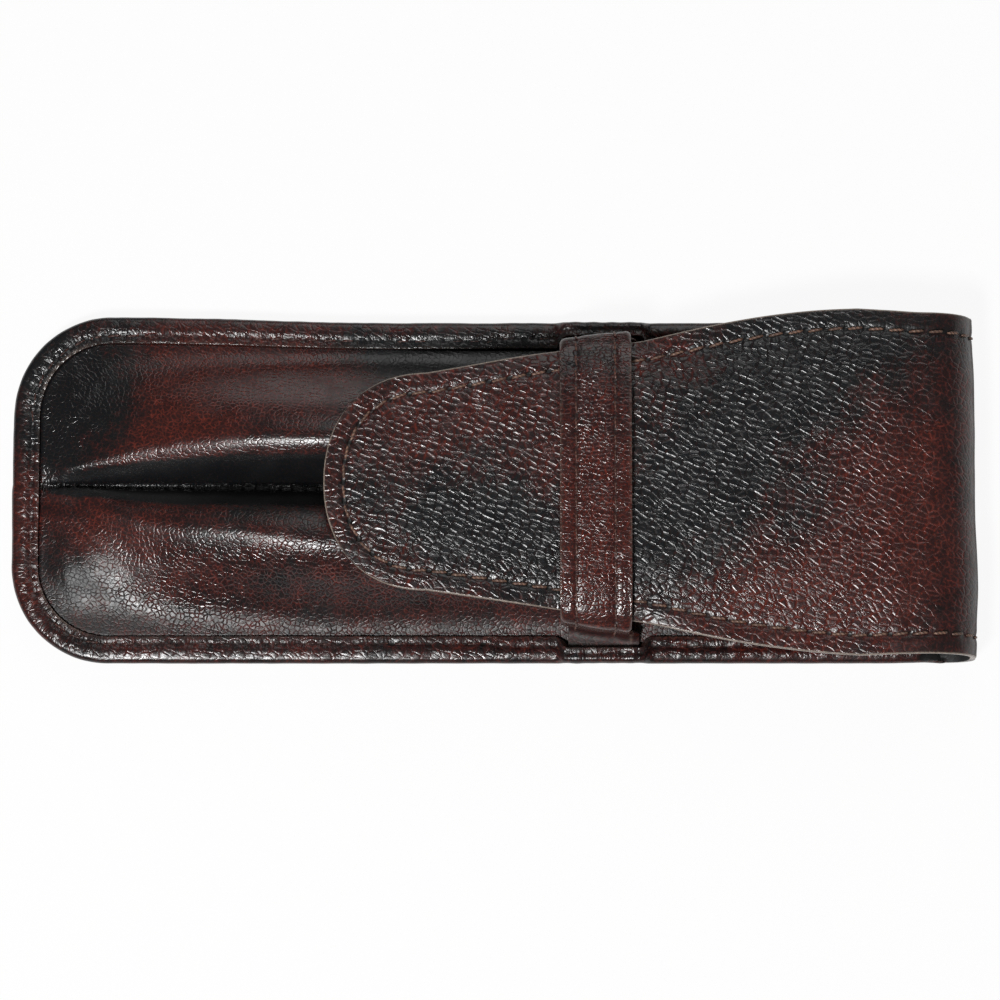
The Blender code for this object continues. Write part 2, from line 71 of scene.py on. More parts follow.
# What the frame fixes
BACK_LOW, BACK_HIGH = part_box("back_cover")
_, FRONT_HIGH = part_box("front_panel")
_, FOLD_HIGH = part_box("fold_cover")
_, FLAP_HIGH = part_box("flap_cover")
TONGUE_LOW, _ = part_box("tongue_cover")
KEEPER_LOW, KEEPER_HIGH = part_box("keeper_band")

# Leather, linings and the air between the layers
COVER_LEATHER = 0.0010
FRONT_LEATHER = 0.0009
POCKET_LINING = 0.0004
FLAP_LINING = 0.0006
KEEPER_LEATHER = 0.0009
KEEPER_LINING = 0.0004
LAYER_GAP = 0.0003

# The back and its turned margins
CLOSED_X = BACK_LOW.x
HALF_WIDTH = BACK_HIGH.y
CORNER_RADIUS = 0.0163
TURNED_WIDTH = 0.0044
TURNED_EDGE_RADIUS = 0.0008
EDGE_LEAN = 0.0005
HEM_INSET = 0.0060
MOUTH_X = FRONT_HIGH.x

# The front and its two pockets
POCKET_HEIGHT = 0.0109
FRONT_TOP = FRONT_HIGH.z - POCKET_HEIGHT
FRONT_HALF_WIDTH = FRONT_HIGH.y
FRONT_EDGE_INSET = HALF_WIDTH - FRONT_HALF_WIDTH
FRONT_LENGTH = MOUTH_X - CLOSED_X
POCKET_HALF_WIDTH = HALF_WIDTH - TURNED_WIDTH - 0.0002
POCKET_RISE_LENGTH = 0.050
CREST_OFFSET = 0.0075
CREST_OFFSET_AT_APEX = 0.0012
VALLEY_HALF_WIDTH = 0.0007
VALLEY_HALF_WIDTH_AT_APEX = 0.0003
VALLEY_OPENING_LENGTH = 0.030
VALLEY_SKEW = 0.0012
RISE_POWER = 1.2
SLOPE_POWER = 1.9
LINING_START = 0.014
LINING_SETBACK = 0.0015
LINING_FOOT_CLEARANCE = 0.0010

# The fold and the flap
FOLD_X = FOLD_HIGH.x
LOWER_CREASE_RADIUS = 0.0045
UPPER_CREASE_RADIUS = 0.0085
CREASE_X = FOLD_X - LOWER_CREASE_RADIUS
FLAP_START_X = FOLD_X - UPPER_CREASE_RADIUS
FLAP_TOP = FLAP_HIGH.z
FLAP_HALF_WIDTH = FLAP_HIGH.y
WALL_CUT_Z = (LOWER_CREASE_RADIUS + FLAP_TOP - UPPER_CREASE_RADIUS) / 2
CUT_RUN = CREASE_X + math.pi / 2 * LOWER_CREASE_RADIUS + WALL_CUT_Z - LOWER_CREASE_RADIUS
FLAP_DROOP = 0.0019
TONGUE_DROOP_SHARE = 0.5
PRESS_DEPTH = 0.0044
PRESS_REACH = 0.009
LEVEL_BORDER = 0.0026
LEVEL_BEND = 0.0016
LEVEL_REACH = 0.005
DROOP_GROWS_X = (-0.004, 0.020)
# A wider place on the flap's side: how much wider, its middle's x and its reach
FLAP_SHOULDER = (0.0004, 0.057, 0.009)
FLAP_DROOP_LENGTH = 0.045
TIP_X = TONGUE_LOW.x + 0.0010
NOSE_LENGTH = 0.017
NOSE_HALF_WIDTH = 0.018
NOSE_POWER = 2.2
TAPER_LENGTH = 0.071
BELLY = 0.0010
BELLY_POWER = 1.2
NOSE_CORNER_Y = 0.0125
FLAP_LINING_INSET = 0.0015
CUT_REACH = 0.001
FLAP_RIM_STEP = 0.0005
FLAP_LINING_STEP = 0.0009

# How much the +Y side swells out on the flap and beside the keeper, with its middle x and reach
FULLER_SIDE = (0.00065, 0.046, 0.018)
FULLER_FROM_X = 0.066
FULLER_SIDE_Y = (0.008, 0.028)
FULLER_TONGUE = (0.00085, 0.012, 0.018)
FULLER_TAIL_Y = 0.0253
FULLER_TONGUE_Y = (0.004, 0.018)

# The keeper
KEEPER_LEFT = KEEPER_LOW.x
KEEPER_RIGHT = KEEPER_HIGH.x
KEEPER_CENTRE = (KEEPER_LEFT + KEEPER_RIGHT) / 2
KEEPER_OVER_FLAP = KEEPER_HIGH.z - FLAP_TOP
KEEPER_BEND = 0.0029
KEEPER_LAST_RADIUS = 0.0010
KEEPER_LAST_TILT = math.radians(42.0)
KEEPER_FOOT_RADIUS = 0.0013
KEEPER_LINING_SKIRT = 0.0022
KEEPER_LIP_RAMP = 0.0016
KEEPER_CORNER = 0.0009
KEEPER_CORNER_FACE = 0.95
CREASE_CLEARANCE = 0.0010
TAIL_SHIFT = 0.0015
TAIL_CLEAR = 0.0002

# The gathers at the closed corners. They wander by a wave of this size, seed and height
GATHER_PITCH = 0.0017
GATHER_DEPTH = 0.00026
GATHER_BREADTH = 0.17
GATHER_WANDER = (0.0035, 3.1, 0.0012)
GATHER_STRAIGHTNESS = 0.3
GATHER_ENDS = (-0.15, 0.10)
GATHER_PAST = 0.002
GATHER_INSETS = (0.0006, 0.0030)

# How much further out the +Y edge lies at the closed end and from the middle on, and the -Y edge
WIDER_END = 0.0011
WIDER_MIDDLE = 0.0001
WIDER_ENDS_X = (-0.062, -0.015)
WIDER_FROM_X = 0.064
LOWER_EDGE_OUT = 0.00025

# The join in the margin at the closed end
JOIN_Y = 0.0008
JOIN_STEP = 0.00014
JOIN_EDGE = 0.0003
JOIN_REACH = 0.008
JOIN_PAST_MARGIN = 0.001

# The underside from its edge inwards, as shares of HEM_INSET, and the turned margin
HEM_SHARES = (1.0, 0.83, 0.70, 0.64, 0.585, 0.533, 0.48, 0.43, 0.36, 0.25, 0.133)
RIM_STEP = 0.0005
EDGE_STEPS = 4
THINNEST_MARGIN = 0.03
MARGIN_WHOLE_X = 0.0715
BACK_LIFT = 0.0002

# The stage
PICTURE_CENTRE = (0.00133, -0.00085)
KEY_PLACE = (-0.20, -0.36, 0.70)
KEY_SIZE = 0.15
FILL_PLACE = (0.12, 0.58, 0.50)
FILL_SIZE = 0.45
FLOOR_REACH = 1.5
FLOOR_GAP = 0.00002
FLOOR_WHITE_SHARE = 0.92
FLOOR_ROUGHNESS = 0.9
CLIP_START = 0.01

TURNED_TOP = FRONT_TOP + LAYER_GAP + COVER_LEATHER
TAIL_TOP = FRONT_TOP + LAYER_GAP + KEEPER_LEATHER
TURNED_LIFT = KEEPER_LEATHER + LAYER_GAP
TAIL_SHIFT_Z = (FLAP_TOP - 0.005, TAIL_TOP + 0.002)
APEX_X = CLOSED_X + TURNED_WIDTH
QUARTER = math.pi / 2
STEP = 0.00045
FINE_STEP = 0.0001
WELD = 1e-6
CUT_SLACK = WELD * 10
EVEN = (1.0, 1.0, 1.0)

# How round the linings' cut edges are
LINING_EDGE_ROUND = 0.00012
THIN_EDGE_ROUND = 0.00008

# The front's and the pocket linings' meshes
FRONT_ROWS = 232
FRONT_ROW_POWER = 1.2
LINING_ROWS = 60
LINING_COLUMNS = 56
LINING_WALL_END = 2.8

# The groove that a row of stitches draws in, and the leather that swells beside it
GROOVE_REACH = 0.00055
GROOVE_EASED = 0.45
SWELLING_AWAY = 0.0011
SWELLING_REACH = 0.0008
SWELLING_LEVEL = 0.35
NARROW_ROW_SHARE = 0.62
ROW_SETBACK = 2
VALLEY_ROW_ALONG = (0.055, 0.999)
VALLEY_ROW_X = (-0.078, -0.070)
VALLEY_DRAW = 0.00024
VALLEY_PUCKER = 0.00016
FLAP_PUCKER_SHARE = 0.35
KEEPER_DRAW_SHARE = 0.6
KEEPER_PUCKER_SHARE = 0.45

# A stitch: shares of its pitch, its slant, and its shape in half thicknesses
STITCH_SHOWN = 0.76
STITCH_TRIM = 0.06
STITCH_SLANT = 0.10
STITCH_BLUNTNESS = 5
STITCH_FLATNESS = 0.9
STITCH_LIFT = 0.7
STITCH_DROP = 0.10
STITCH_END_DROP = 0.9
SINK_SHARE = 0.6
UNDER_SINK_SHARE = 0.78
KEEPER_SINK_SHARE = 0.5
VALLEY_SINK = 0.0002

# Waves in the leather: size, seed, height, and the stretch where it isn't even
BACK_WAVES = (0.006, 1.7, 0.00010)
BACK_RIPPLES = (0.0022, 5.2, 0.00005)
ROWS_UNEVEN = (0.004, 6.6, 0.6)
FAN_CREASES = (0.0008, 2.4, 0.00026)
FRONT_WAVES = (0.016, 8.3, 0.00035, (0.5, 1.0, 1.0))
FRONT_RIPPLES = (0.0045, 6.1, 0.00009, (0.5, 1.0, 1.0))
FLAP_WAVES = (0.017, 4.4, 0.00030, (0.7, 1.0, 1.0))
FLAP_RIPPLES = (0.0060, 9.4, 0.00008)
CREASE_FOLDS = (0.0035, 7.7, 0.00007, (1.0, 0.12, 1.0))
KEEPER_WAVES = (0.005, 3.3, 0.00006)
KEEPER_FOLDS = (0.0016, 1.9, 0.00012, (0.3, 1.0, 1.0))

# Relief: a ridge has a height, a middle and a width, a terrace a height and a slope's two ends
ROWS_EVEN = 0.75
FACING_DOWN = -0.3
EDGE_ROLL = (0.00016, 0.0014, 0.0010)
ROW_ROLL = (0.00018, 0.0030, 0.0020)
FLAP_ROLL = (0.00008, 0.0017, 0.0013)
FLAP_FULLNESS = (0.00030, 0.0034, 0.012)
FLAP_HELD = 0.003
CUT_EVENED = 0.004
CREASE_FOLDS_PAST = 0.002
CREASE_FOLDS_REACH = 0.007
FOLD_SAG = (0.00045, 0.0735, 0.0060)
FOLD_SAG_DEPTH = 0.006
KEEPER_FULLNESS = (0.00010, 0.0028, 0.005)
KEEPER_FOLDS_TURN = ((0.8, 0.6, 0), (-0.6, 0.8, 0), (0, 0, 1))
LOW_BEND_PAST = 0.0008
LOW_BEND_REACH = 0.0026

# The front's relief: the fan of creases, the pockets' lips, and their fuller ends, with a middle
# and a reach along x and y
FRONT_HELD = 0.005
FAN_ACROSS = 0.014
FAN_ALONG = 0.10
FAN_STARTS = (0.002, 0.006)
FAN_ENDS = (0.026, 0.010)
FAN_TURNS = (0.25, 0.55)
FAN_UPPER_SHARE = 0.35
LIP_MIDDLE_Y = VALLEY_SKEW * 0.6
LIP_PLACE_SHARE = 0.92
LIP_BREADTH = 0.0013
LIP_BROADENS = 0.0006
LIP_START = 0.006
LIP_HEIGHTS = (0.00065, 0.00022)
LIP_STEP = 0.0008
LIP_STEP_INSETS = (-0.0006, 0.0002)
LIP_STEP_Y = (0.0015, 0.0045)
POCKET_END = (-0.0700, 0.0125, 0.0068, 0.0052)
FULLER_ENDS = (0.0013, 0.0005)

# Tones, from black to red, and the strength of the grain, where 1 is the pebbles' full depth
PATCH_SHARE = 0.75
COVER_RED = 0.30
FRONT_RED = 0.26
KEEPER_RED = 0.35
FRONT_GRAIN_STRENGTH = 0.95
KEEPER_GRAIN_STRENGTH = 0.70
LEAST_GRAIN = 0.1

# The back's looks, on its margins and inside the fold
FLAP_TONES_X = (0.04, 0.07)
MARGIN_GRAIN = (0.44, 0.0, 0.0015)
MARGIN_HOLED = 0.4
FOLD_GRAIN = 0.65
ROUNDING_X = (0.002, 0.006)
ROUNDING_Y = (0.002, 0.005)
LIP_WEAR = 0.20
LIP_WEAR_REACH = 0.0004
CORNER_WEAR = 0.7
# The lower half of the closed end's margin is painted redder and lighter: a painted sheen on its
# glossier part
END_MARGIN_PAINTED_SHEEN = 0.28
END_MARGIN_X = (CLOSED_X + 0.008, CLOSED_X + 0.004)
END_MARGIN_Y = (0.006, 0.0)
UNDERSIDE_DRAWN = 0.25
INSIDE_FOLD_X = (0.0705, 0.0725)
INSIDE_FOLD_INSET = 0.0004
INSIDE_SMOOTHER = 0.8
INSIDE_FOLD_DULL = 1.2
# Inside the fold and past the lining the tone is painted black: painted shade in the fold's opening
INSIDE_FOLD_PAINTED_SHADE = 1.2
PAST_LINING_Y = (0.0256, 0.0262)
PAST_LINING_PAINTED_SHADE = 0.6

# The front's looks, from the valley's groove to the lower edge
GROOVE_EDGE = (1.25, 0.7)
GROOVE_HALF_WIDTHS = (0.0008, 0.0036)
GROOVE_START = 0.004
# The valley is painted black: painted shade in the deep groove that light hardly reaches
GROOVE_PAINTED_SHADE = 1.6
GROOVE_SMOOTHER = 0.45
GROOVE_DULL = 0.45
CREST_X = (-0.078, -0.060)
CREST_BREADTH = 0.005
CREST_SMOOTHER = 0.20
UPPER_Y = (0.004, 0.008)
UPPER_SMOOTHER = 0.25
UPPER_END_X = -0.0705
UPPER_END_REACH = 0.008
EDGE_SMOOTHER = (0.25, 0.014, 0.020)
END_GRAINIER = 0.35
END_GLOSSIER = 0.15
WALL_SMOOTHER = 0.4
LOWER_CORNER = (-0.0700, -0.0160, 0.0100, 0.0090)
CORNER_SMOOTHER = 0.15
CORNER_DULL = 0.40
BELOW_TONGUE_X = (-0.062, -0.052)
BELOW_TONGUE_Y = (0.0085, 0.0110)
BELOW_TONGUE_GRAINIER = 0.20
BELOW_TONGUE_GLOSSIER = 0.14
LOWER_EDGE_DULL = (0.50, 0.0185, 0.0220)
BESIDE_ROW = 0.0016
FRONT_DRAWN = 0.2
FRONT_HOLED = 0.6
FRONT_DEPTH_SHARE = 0.45

# The flap's looks
FLAP_ROW_PRESSED = (0.35, 0.0, 0.0007)
FLAP_BORDER_PRESSED = 0.35
FLAP_START_SMOOTHER = (0.45, 0.056, 0.070)
FLAP_MIDDLE_GRAINIER = (0.15, 0.002, 0.020)
FLAP_MIDDLE_X = (0.060, 0.045)
# A pale band along the flap's very edge: a painted highlight where the rounded edge catches the light
FLAP_EDGE_PAINTED_HIGHLIGHT = (0.35, 0.0, 0.00035)
FOLD_DULL = (0.40, 0.0710, 0.0775)
FLAP_DRAWN = 0.4

# The keeper's looks
KEEPER_ROW_PRESSED = (0.4, 0.0, 0.0006)
KEEPER_BORDER = 0.0022
KEEPER_BORDER_PRESSED = 0.30
# The keeper is paler along the outer turn of each bend, above its tails
KEEPER_BEND_PALING = 0.20
KEEPER_BEND_PALING_REACH = 0.0002
KEEPER_PALING_ABOVE_TAIL = 0.005
# A pale band along the keeper's cut edges: a painted highlight where the rounded edge catches the light
KEEPER_EDGE_PAINTED_HIGHLIGHT = (0.6, 0.0, 0.0003)
KEEPER_BENDING = 0.0008
BENDING_RED = 0.2
KEEPER_GLOSSIER = 0.12
KEEPER_DRAWN = 0.5
KEEPER_HOLED = 0.4
TAILS_Z = (TAIL_TOP + 0.003, TAIL_TOP + 0.001)
# The tails are painted darker: painted shade where they run down between the keeper and the margin
TAILS_PAINTED_SHADE = 0.25
TAILS_SMOOTHER = 0.6
TAILS_DULL = 0.90

# The turn of all noise, which keeps its grid from showing
NOISE_AXIS = (0.5, 0.3, 0.8)
NOISE_ANGLE = 0.9

# Ranges of noise that ramps carry from 0 to 1
MIDDLE_TONES = (0.3, 0.7)
BROAD_TONES = (0.2, 0.8)
SMUDGE_RANGE = (0.25, 0.75)

# The stretch, turn and seed of each leather's pebbles, and their shape
COVER_PEBBLES = (1.4, -0.42, 0.0)
FRONT_PEBBLES = (1.2, 0.2, 2.0)
KEEPER_PEBBLES = (1.5, 0.0, 5.0)
CELL_RANDOMNESS = 0.9
CELL_BEND = (1.5, 1.5, 0.0)
PEBBLE_SHOULDER = 0.27
PEBBLE_POWER = 1.9
CREASE_CELLS = (1.7, 2.3, 1.0)
CREASE_SHOULDER = 0.35
CREASE_POWER = 2.6
TOOTH_SHARE = 0.13
PUCKER_HEIGHT = 0.00016

# The mottling, and how a valley's stain is rubbed off and flecked
DRIFT_SHARE = 1.1
SPOTS_SHARE = 0.7
STAIN_RUBBED = (1.5, -0.25)
FLECK_SHARE = 0.55

# Needle holes
HOLE_RADIUS = 0.00044
HOLE_DEPTH = 0.00005
HOLE_LENGTHENED = 0.75
HOLE_RAGGED = 0.55
# The holes are painted near black: painted shade inside each needle hole
HOLE_PAINTED_SHADE = (0.001, 0.001, 0.001)

# Roughness, and the shades and heights of the cut edges, the linings and the threads
SMUDGE_GLOSSIER = 0.04
SMUDGE_DULLER = 0.08
DULL_ROUGHNESS = 0.4
HOLE_ROUGHNESS = 0.2
EDGE_ROUGHNESS = (0.24, 0.42)
LINING_ROUGHNESS = (0.55, 0.72)
THREAD_ROUGHNESS = (0.60, 0.42)
EDGE_DARKER = 0.6
LINING_PALER = 1.5
# How much darker the lining is painted in its grain's valleys, as shade
LINING_DARKER = 0.4
# How much darker the thread is in the painted shade between its plies and where its tint is darker
THREAD_DARKER = 0.35
FIBRE_HEIGHT = 0.00004
LINING_GRAIN_DEPTH = 0.00004
PLY_HEIGHT = 0.00005
BLACK = (0.0, 0.0, 0.0)
WHITE = (1.0, 1.0, 1.0)
TONES = {
    "Black top": "black_top",
    "Black valley": "black_valley",
    "Red top": "red_top",
    "Red valley": "red_valley",
}

# Where the lower pocket's crest lies: x, how far from the middle, how much its lip stands out and
# how broad the lip is
LOWER_CREST = (
    (-0.0756, 0.0009, 0.00025, 0.0010),
    (-0.0695, 0.0018, 0.00045, 0.0014),
    (-0.0653, 0.0032, 0.00060, 0.0018),
    (-0.0592, 0.0062, 0.00065, 0.0022),
    (-0.0508, 0.0074, 0.00045, 0.0024),
    (-0.0403, 0.0084, 0.00025, 0.0024),
    (-0.0287, 0.0096, 0.00010, 0.0024),
)

# Soft patches of tone: centre x and y, reach along and across, turn in degrees, and how much
# redder (above 0) or blacker (below 0) the leather is there
FLAP_PATCHES = (
    (0.067, -0.003, 0.010, 0.019, 0, 0.62),
    (0.049, -0.020, 0.015, 0.008, 10, 0.75),
    (0.037, 0.004, 0.026, 0.010, 52, -1.00),
    (0.058, 0.022, 0.014, 0.008, 0, -0.90),
    (-0.010, 0.012, 0.018, 0.009, 12, 0.22),
    (0.001, -0.009, 0.016, 0.009, -20, -0.85),
)
FRONT_PATCHES = (
    (-0.069, 0.016, 0.010, 0.012, 0, -1.00),
    (-0.044, 0.018, 0.016, 0.008, 0, 0.85),
    (-0.028, 0.018, 0.009, 0.006, 0, 0.45),
    (-0.055, 0.009, 0.010, 0.006, 30, 0.60),
    (-0.008, 0.023, 0.022, 0.004, 0, -1.00),
    (-0.062, -0.008, 0.014, 0.005, -35, 0.45),
    (-0.036, -0.013, 0.018, 0.005, 0, 0.05),
    (-0.070, -0.018, 0.008, 0.008, 0, -0.35),
)
KEEPER_PATCHES = (
    (0.017, 0.020, 0.020, 0.010, 0, -0.15),
    (0.017, -0.006, 0.020, 0.016, 0, 0.60),
)


def colour_value(name, description, default):
    """A colour that the user can change."""
    return FloatVectorProperty(
        name=name, description=description, default=default, size=3, subtype="COLOR", min=0, max=1
    )


def length_value(name, description, default):
    """A length that the user can change."""
    return FloatProperty(
        name=name, description=description, default=default, min=0, precision=5, unit="LENGTH"
    )


def share_value(name, description, default, most=1.0):
    """A plain number that the user can change."""
    return FloatProperty(name=name, description=description, default=default, min=0, max=most)


class PouchLeather(bpy.types.PropertyGroup):
    """The grain, the gloss and the colours of the leather."""

    black_top: colour_value("Black top", "Pebbles where the leather is black", (0.0045, 0.0055, 0.0065))
    black_valley: colour_value("Black valley", "Valleys in the black leather", (0.016, 0.009, 0.009))
    red_top: colour_value("Red top", "Pebbles where the leather is red", (0.028, 0.008, 0.007))
    red_valley: colour_value("Red valley", "Valleys in the red leather", (0.150, 0.024, 0.014))
    # Paled leather: real wear on the margin's lip and gathered corners, paler turns of the keeper's
    # bends, and a painted highlight along the flap's and the keeper's cut edges
    wear_and_painted_highlight: colour_value("Worn", "Leather paled by rubbing at a bend", (0.160, 0.120, 0.100))
    cut_edge: colour_value("Cut edge", "The dyed cut edge of the pouch", (0.070, 0.036, 0.028))
    # The flap's cut edge is painted pale: a painted highlight where its rounded edge catches the light
    flap_edge: colour_value("Flap edge", "The pale cut edge of the flap", (0.245, 0.195, 0.160))
    lining: colour_value("Lining", "The thin lining leather", (0.050, 0.018, 0.013))
    cell: length_value("Pebble", "Breadth of a pebble on the flap", 0.00103)
    front_cell: length_value("Front pebble", "Breadth of a pebble on the front", 0.00066)
    depth: length_value("Valley depth", "Depth of the valleys between pebbles", 0.00010)
    roughness: share_value("Roughness", "How matt the leather's finish is", 0.25)


class PouchSewing(bpy.types.PropertyGroup):
    """The thread, its stitches, and how they draw the leather in."""

    flap_inset: length_value("Flap row", "From the flap's edge to its stitches", 0.0033)
    flap_pitch: length_value("Flap stitch", "One stitch on the flap", 0.0033)
    margin_inset: length_value("Margin row", "From the pouch's edge to its stitches", 0.0032)
    margin_pitch: length_value("Margin stitch", "One stitch on the margin", 0.0030)
    keeper_inset: length_value("Keeper row", "From the keeper's edge to its stitches", 0.0027)
    keeper_pitch: length_value("Keeper stitch", "One stitch on the keeper", 0.0026)
    valley_pitch: length_value("Valley stitch", "One stitch on the valley floor", 0.0021)
    thread: length_value("Thread", "Thickness of the thread outside on the flap", 0.00047)
    fine_thread: length_value("Fine thread", "Thickness of all other threads", 0.00036)
    draw: length_value("Draw", "How deep a stitch draws the leather in", 0.00026)
    pucker: length_value("Pucker", "How high the leather swells between needle holes", 0.00014)
    tan: colour_value("Tan thread", "Thread on the flap", (0.205, 0.110, 0.075))
    brown: colour_value("Brown thread", "Thread on the margin and in the valley", (0.075, 0.026, 0.018))
    rust: colour_value("Rust thread", "Thread on the keeper", (0.120, 0.048, 0.034))


class PouchStage(bpy.types.PropertyGroup):
    """The camera, the lamps and the floor."""

    distance: length_value("Camera distance", "From the camera to the pouch", 0.75)
    elevation: FloatProperty(
        name="Elevation",
        description="How steeply the camera looks down",
        default=math.radians(82.0),
        subtype="ANGLE",
    )
    lens: share_value("Lens", "Focal length in millimetres", 161.0, 1000.0)
    key_power: share_value("Key lamp", "Power of the main softbox, in watts", 6.2, 100.0)
    fill_power: share_value("Fill lamp", "Power of the softbox behind the pouch, in watts", 1.1, 100.0)
    world: share_value("Surroundings", "Brightness of the room", 0.11)
    floor: colour_value("Floor", "The pale floor", (0.80, 0.80, 0.80))


def mix(first, second, share):
    """The value that lies this share of the way from the first to the second."""
    return first + (second - first) * share


def rise(share):
    """0 where a swelling starts and 1 from where it is full, with a smooth shoulder."""
    return np.sin(QUARTER * np.clip(share, 0.0, 1.0))


def smooth(low, high, value):
    """0 up to low and 1 from high on, with soft ends."""
    share = np.clip((value - low) / (high - low), 0.0, 1.0)
    return share * share * (3 - 2 * share)


def bell(value, width):
    """1 in the middle, falling away over this width on both sides."""
    return np.exp(-((value / width) ** 2))


def steps_for(length, step=STEP):
    """How many steps of about this size make up the length."""
    return max(1, round(length / step))


def arc(centre, radius, start, end, steps):
    """Points of a circular arc, as pairs, from one angle to another."""
    angles = np.linspace(start, end, steps + 1)
    return np.column_stack((centre[0] + radius * np.cos(angles), centre[1] + radius * np.sin(angles)))


def lengths_along(line):
    """How far along the line each of its points lies."""
    return np.concatenate(([0.0], np.cumsum(np.linalg.norm(np.diff(line, axis=0), axis=1))))


def place_along(line, at):
    """The points that lie this far along the line."""
    lengths = lengths_along(line)
    return np.column_stack([np.interp(at, lengths, axis) for axis in line.T])


def evenly(line, step):
    """The same line with even steps of about this size."""
    length = lengths_along(line)[-1]
    return place_along(line, np.linspace(0.0, length, steps_for(length, step) + 1))



def patches_at(points, patches):
    """The sum of the soft patches of tone at each point."""
    total = np.zeros(len(points))
    for x, y, reach_along, reach_across, turn, amount in patches:
        turn = math.radians(turn)
        along = (points[:, 0] - x) * math.cos(turn) + (points[:, 1] - y) * math.sin(turn)
        across = (points[:, 1] - y) * math.cos(turn) - (points[:, 0] - x) * math.sin(turn)
        total += amount * np.exp(-((along / reach_along) ** 2) - (across / reach_across) ** 2)
    return total


def vectors_of(items, field):
    """The vectors that a mesh's vertices, normals or stored values hold in this field."""
    values = np.empty(len(items) * 3, np.float32)
    items.foreach_get(field, values)
    return values.reshape(-1, 3).astype(float)


def add_object(name, data):
    """A new object in the scene."""
    made = bpy.data.objects.new(name, data)
    bpy.context.scene.collection.objects.link(made)
    return made


class Mould:
    """A surface that is being shaped: its points, and what its material needs to know of them."""

    def __init__(self, name, bm):
        self.name = name
        self.mesh = bpy.data.meshes.new(name)
        bmesh.ops.remove_doubles(bm, verts=bm.verts, dist=WELD)
        bm.to_mesh(self.mesh)
        bm.free()
        self.mesh.shade_smooth()

    @property
    def points(self):
        return vectors_of(self.mesh.vertices, "co")

    @property
    def normals(self):
        return vectors_of(self.mesh.vertex_normals, "vector")

    def move(self, points):
        """Puts the vertices at these points."""
        self.mesh.vertices.foreach_set("co", points.astype(np.float32).ravel())
        self.mesh.update()

    def swell(self, heights):
        """Moves each vertex outwards by its height."""
        self.move(self.points + self.normals * heights[:, None])

    def note(self, name, values):
        """Stores a number or a vector with each vertex, for the material."""
        kind, field = ("FLOAT", "value") if values.ndim == 1 else ("FLOAT_VECTOR", "vector")
        attribute = self.mesh.attributes.new(name, kind, "POINT")
        attribute.data.foreach_set(field, values.astype(np.float32).ravel())

    def read(self, name):
        """The vectors that were stored under this name."""
        return vectors_of(self.mesh.attributes[name].data, "vector")

    def face(self, outwards):
        """Turns the surface so that its first face looks outwards."""
        if self.mesh.polygons[0].normal.dot(Vector(outwards)) < 0:
            self.mesh.flip_normals()

    def piece(self, materials, thickness, round_edge, uncut=None, even=True, painted_highlight_round=False):
        """The finished piece, with its wall on the inner side and its cut edges rounded, apart
        from those for which uncut(point) is true at both ends. With painted_highlight_round the
        rounding has the cut edge's colour, which paints a highlight over the edge's top."""
        self.weigh_edges(uncut)
        made = add_object(self.name, self.mesh)
        for material in materials:
            self.mesh.materials.append(material)
        wall = made.modifiers.new("Leather", "SOLIDIFY")
        wall.thickness = thickness
        wall.offset = -1.0
        wall.use_even_offset = even
        wall.material_offset_rim = len(materials) - 1
        edge = made.modifiers.new("Rounded edge", "BEVEL")
        edge.limit_method = "WEIGHT"
        edge.width = round_edge
        edge.segments = 3
        # The rounding takes the pale edge colour too, painting the highlight over the edge's top
        if painted_highlight_round:
            edge.material = len(materials) - 1
            edge.use_clamp_overlap = False
        settle(made)
        return made

    def weigh_edges(self, uncut):
        """Marks the surface's open edges, which Bevel then rounds."""
        bm = bmesh.new()
        bm.from_mesh(self.mesh)
        weight = bm.edges.layers.float.new("bevel_weight_edge")
        for edge in bm.edges:
            if edge.is_boundary and not (uncut and all(uncut(v.co) for v in edge.verts)):
                edge[weight] = 1.0
        bm.to_mesh(self.mesh)
        bm.free()


def settle(made):
    """Makes the modifiers' result the piece's own mesh."""
    bpy.context.view_layer.update()
    graph = bpy.context.evaluated_depsgraph_get()
    mesh = bpy.data.meshes.new_from_object(
        made.evaluated_get(graph), preserve_all_data_layers=True, depsgraph=graph
    )
    made.modifiers.clear()
    old = made.data
    made.data = mesh
    bpy.data.meshes.remove(old)
    mesh.name = made.name


def lift_to(made, height):
    """Moves the vertices that lie below z = 0 up to this height."""
    points = vectors_of(made.data.vertices, "co")
    points[:, 2] = np.where(points[:, 2] < -WELD, height, points[:, 2])
    made.data.vertices.foreach_set("co", points.astype(np.float32).ravel())
    made.data.update()


def add_grid(bm, rows, columns, place, noted=None):
    """A grid of rows by columns of faces, moved to the points that place(row, column) gives for
    arrays of rows and columns, as a table of its vertices. noted(row, column) gives the vectors
    that are stored as its place on the flat hide."""
    hide = bm.verts.layers.float_vector.get("hide") or bm.verts.layers.float_vector.new("hide")
    made = bmesh.ops.create_grid(bm, x_segments=rows, y_segments=columns, size=0.5)["verts"]
    row = np.array([round((vertex.co.x + 0.5) * rows) for vertex in made])
    column = np.array([round((vertex.co.y + 0.5) * columns) for vertex in made])
    points = place(row, column)
    flat = noted(row, column) if noted else points
    table = [[None] * (columns + 1) for _ in range(rows + 1)]
    for vertex, point, spot, r, c in zip(made, points, flat, row, column):
        vertex.co = point
        vertex[hide] = spot
        table[r][c] = vertex
    return table


def grid_mould(name, outwards, rows, columns, place, noted=None):
    """A surface of one grid, which looks outwards."""
    bm = bmesh.new()
    add_grid(bm, rows, columns, place, noted)
    mould = Mould(name, bm)
    mould.face(outwards)
    return mould


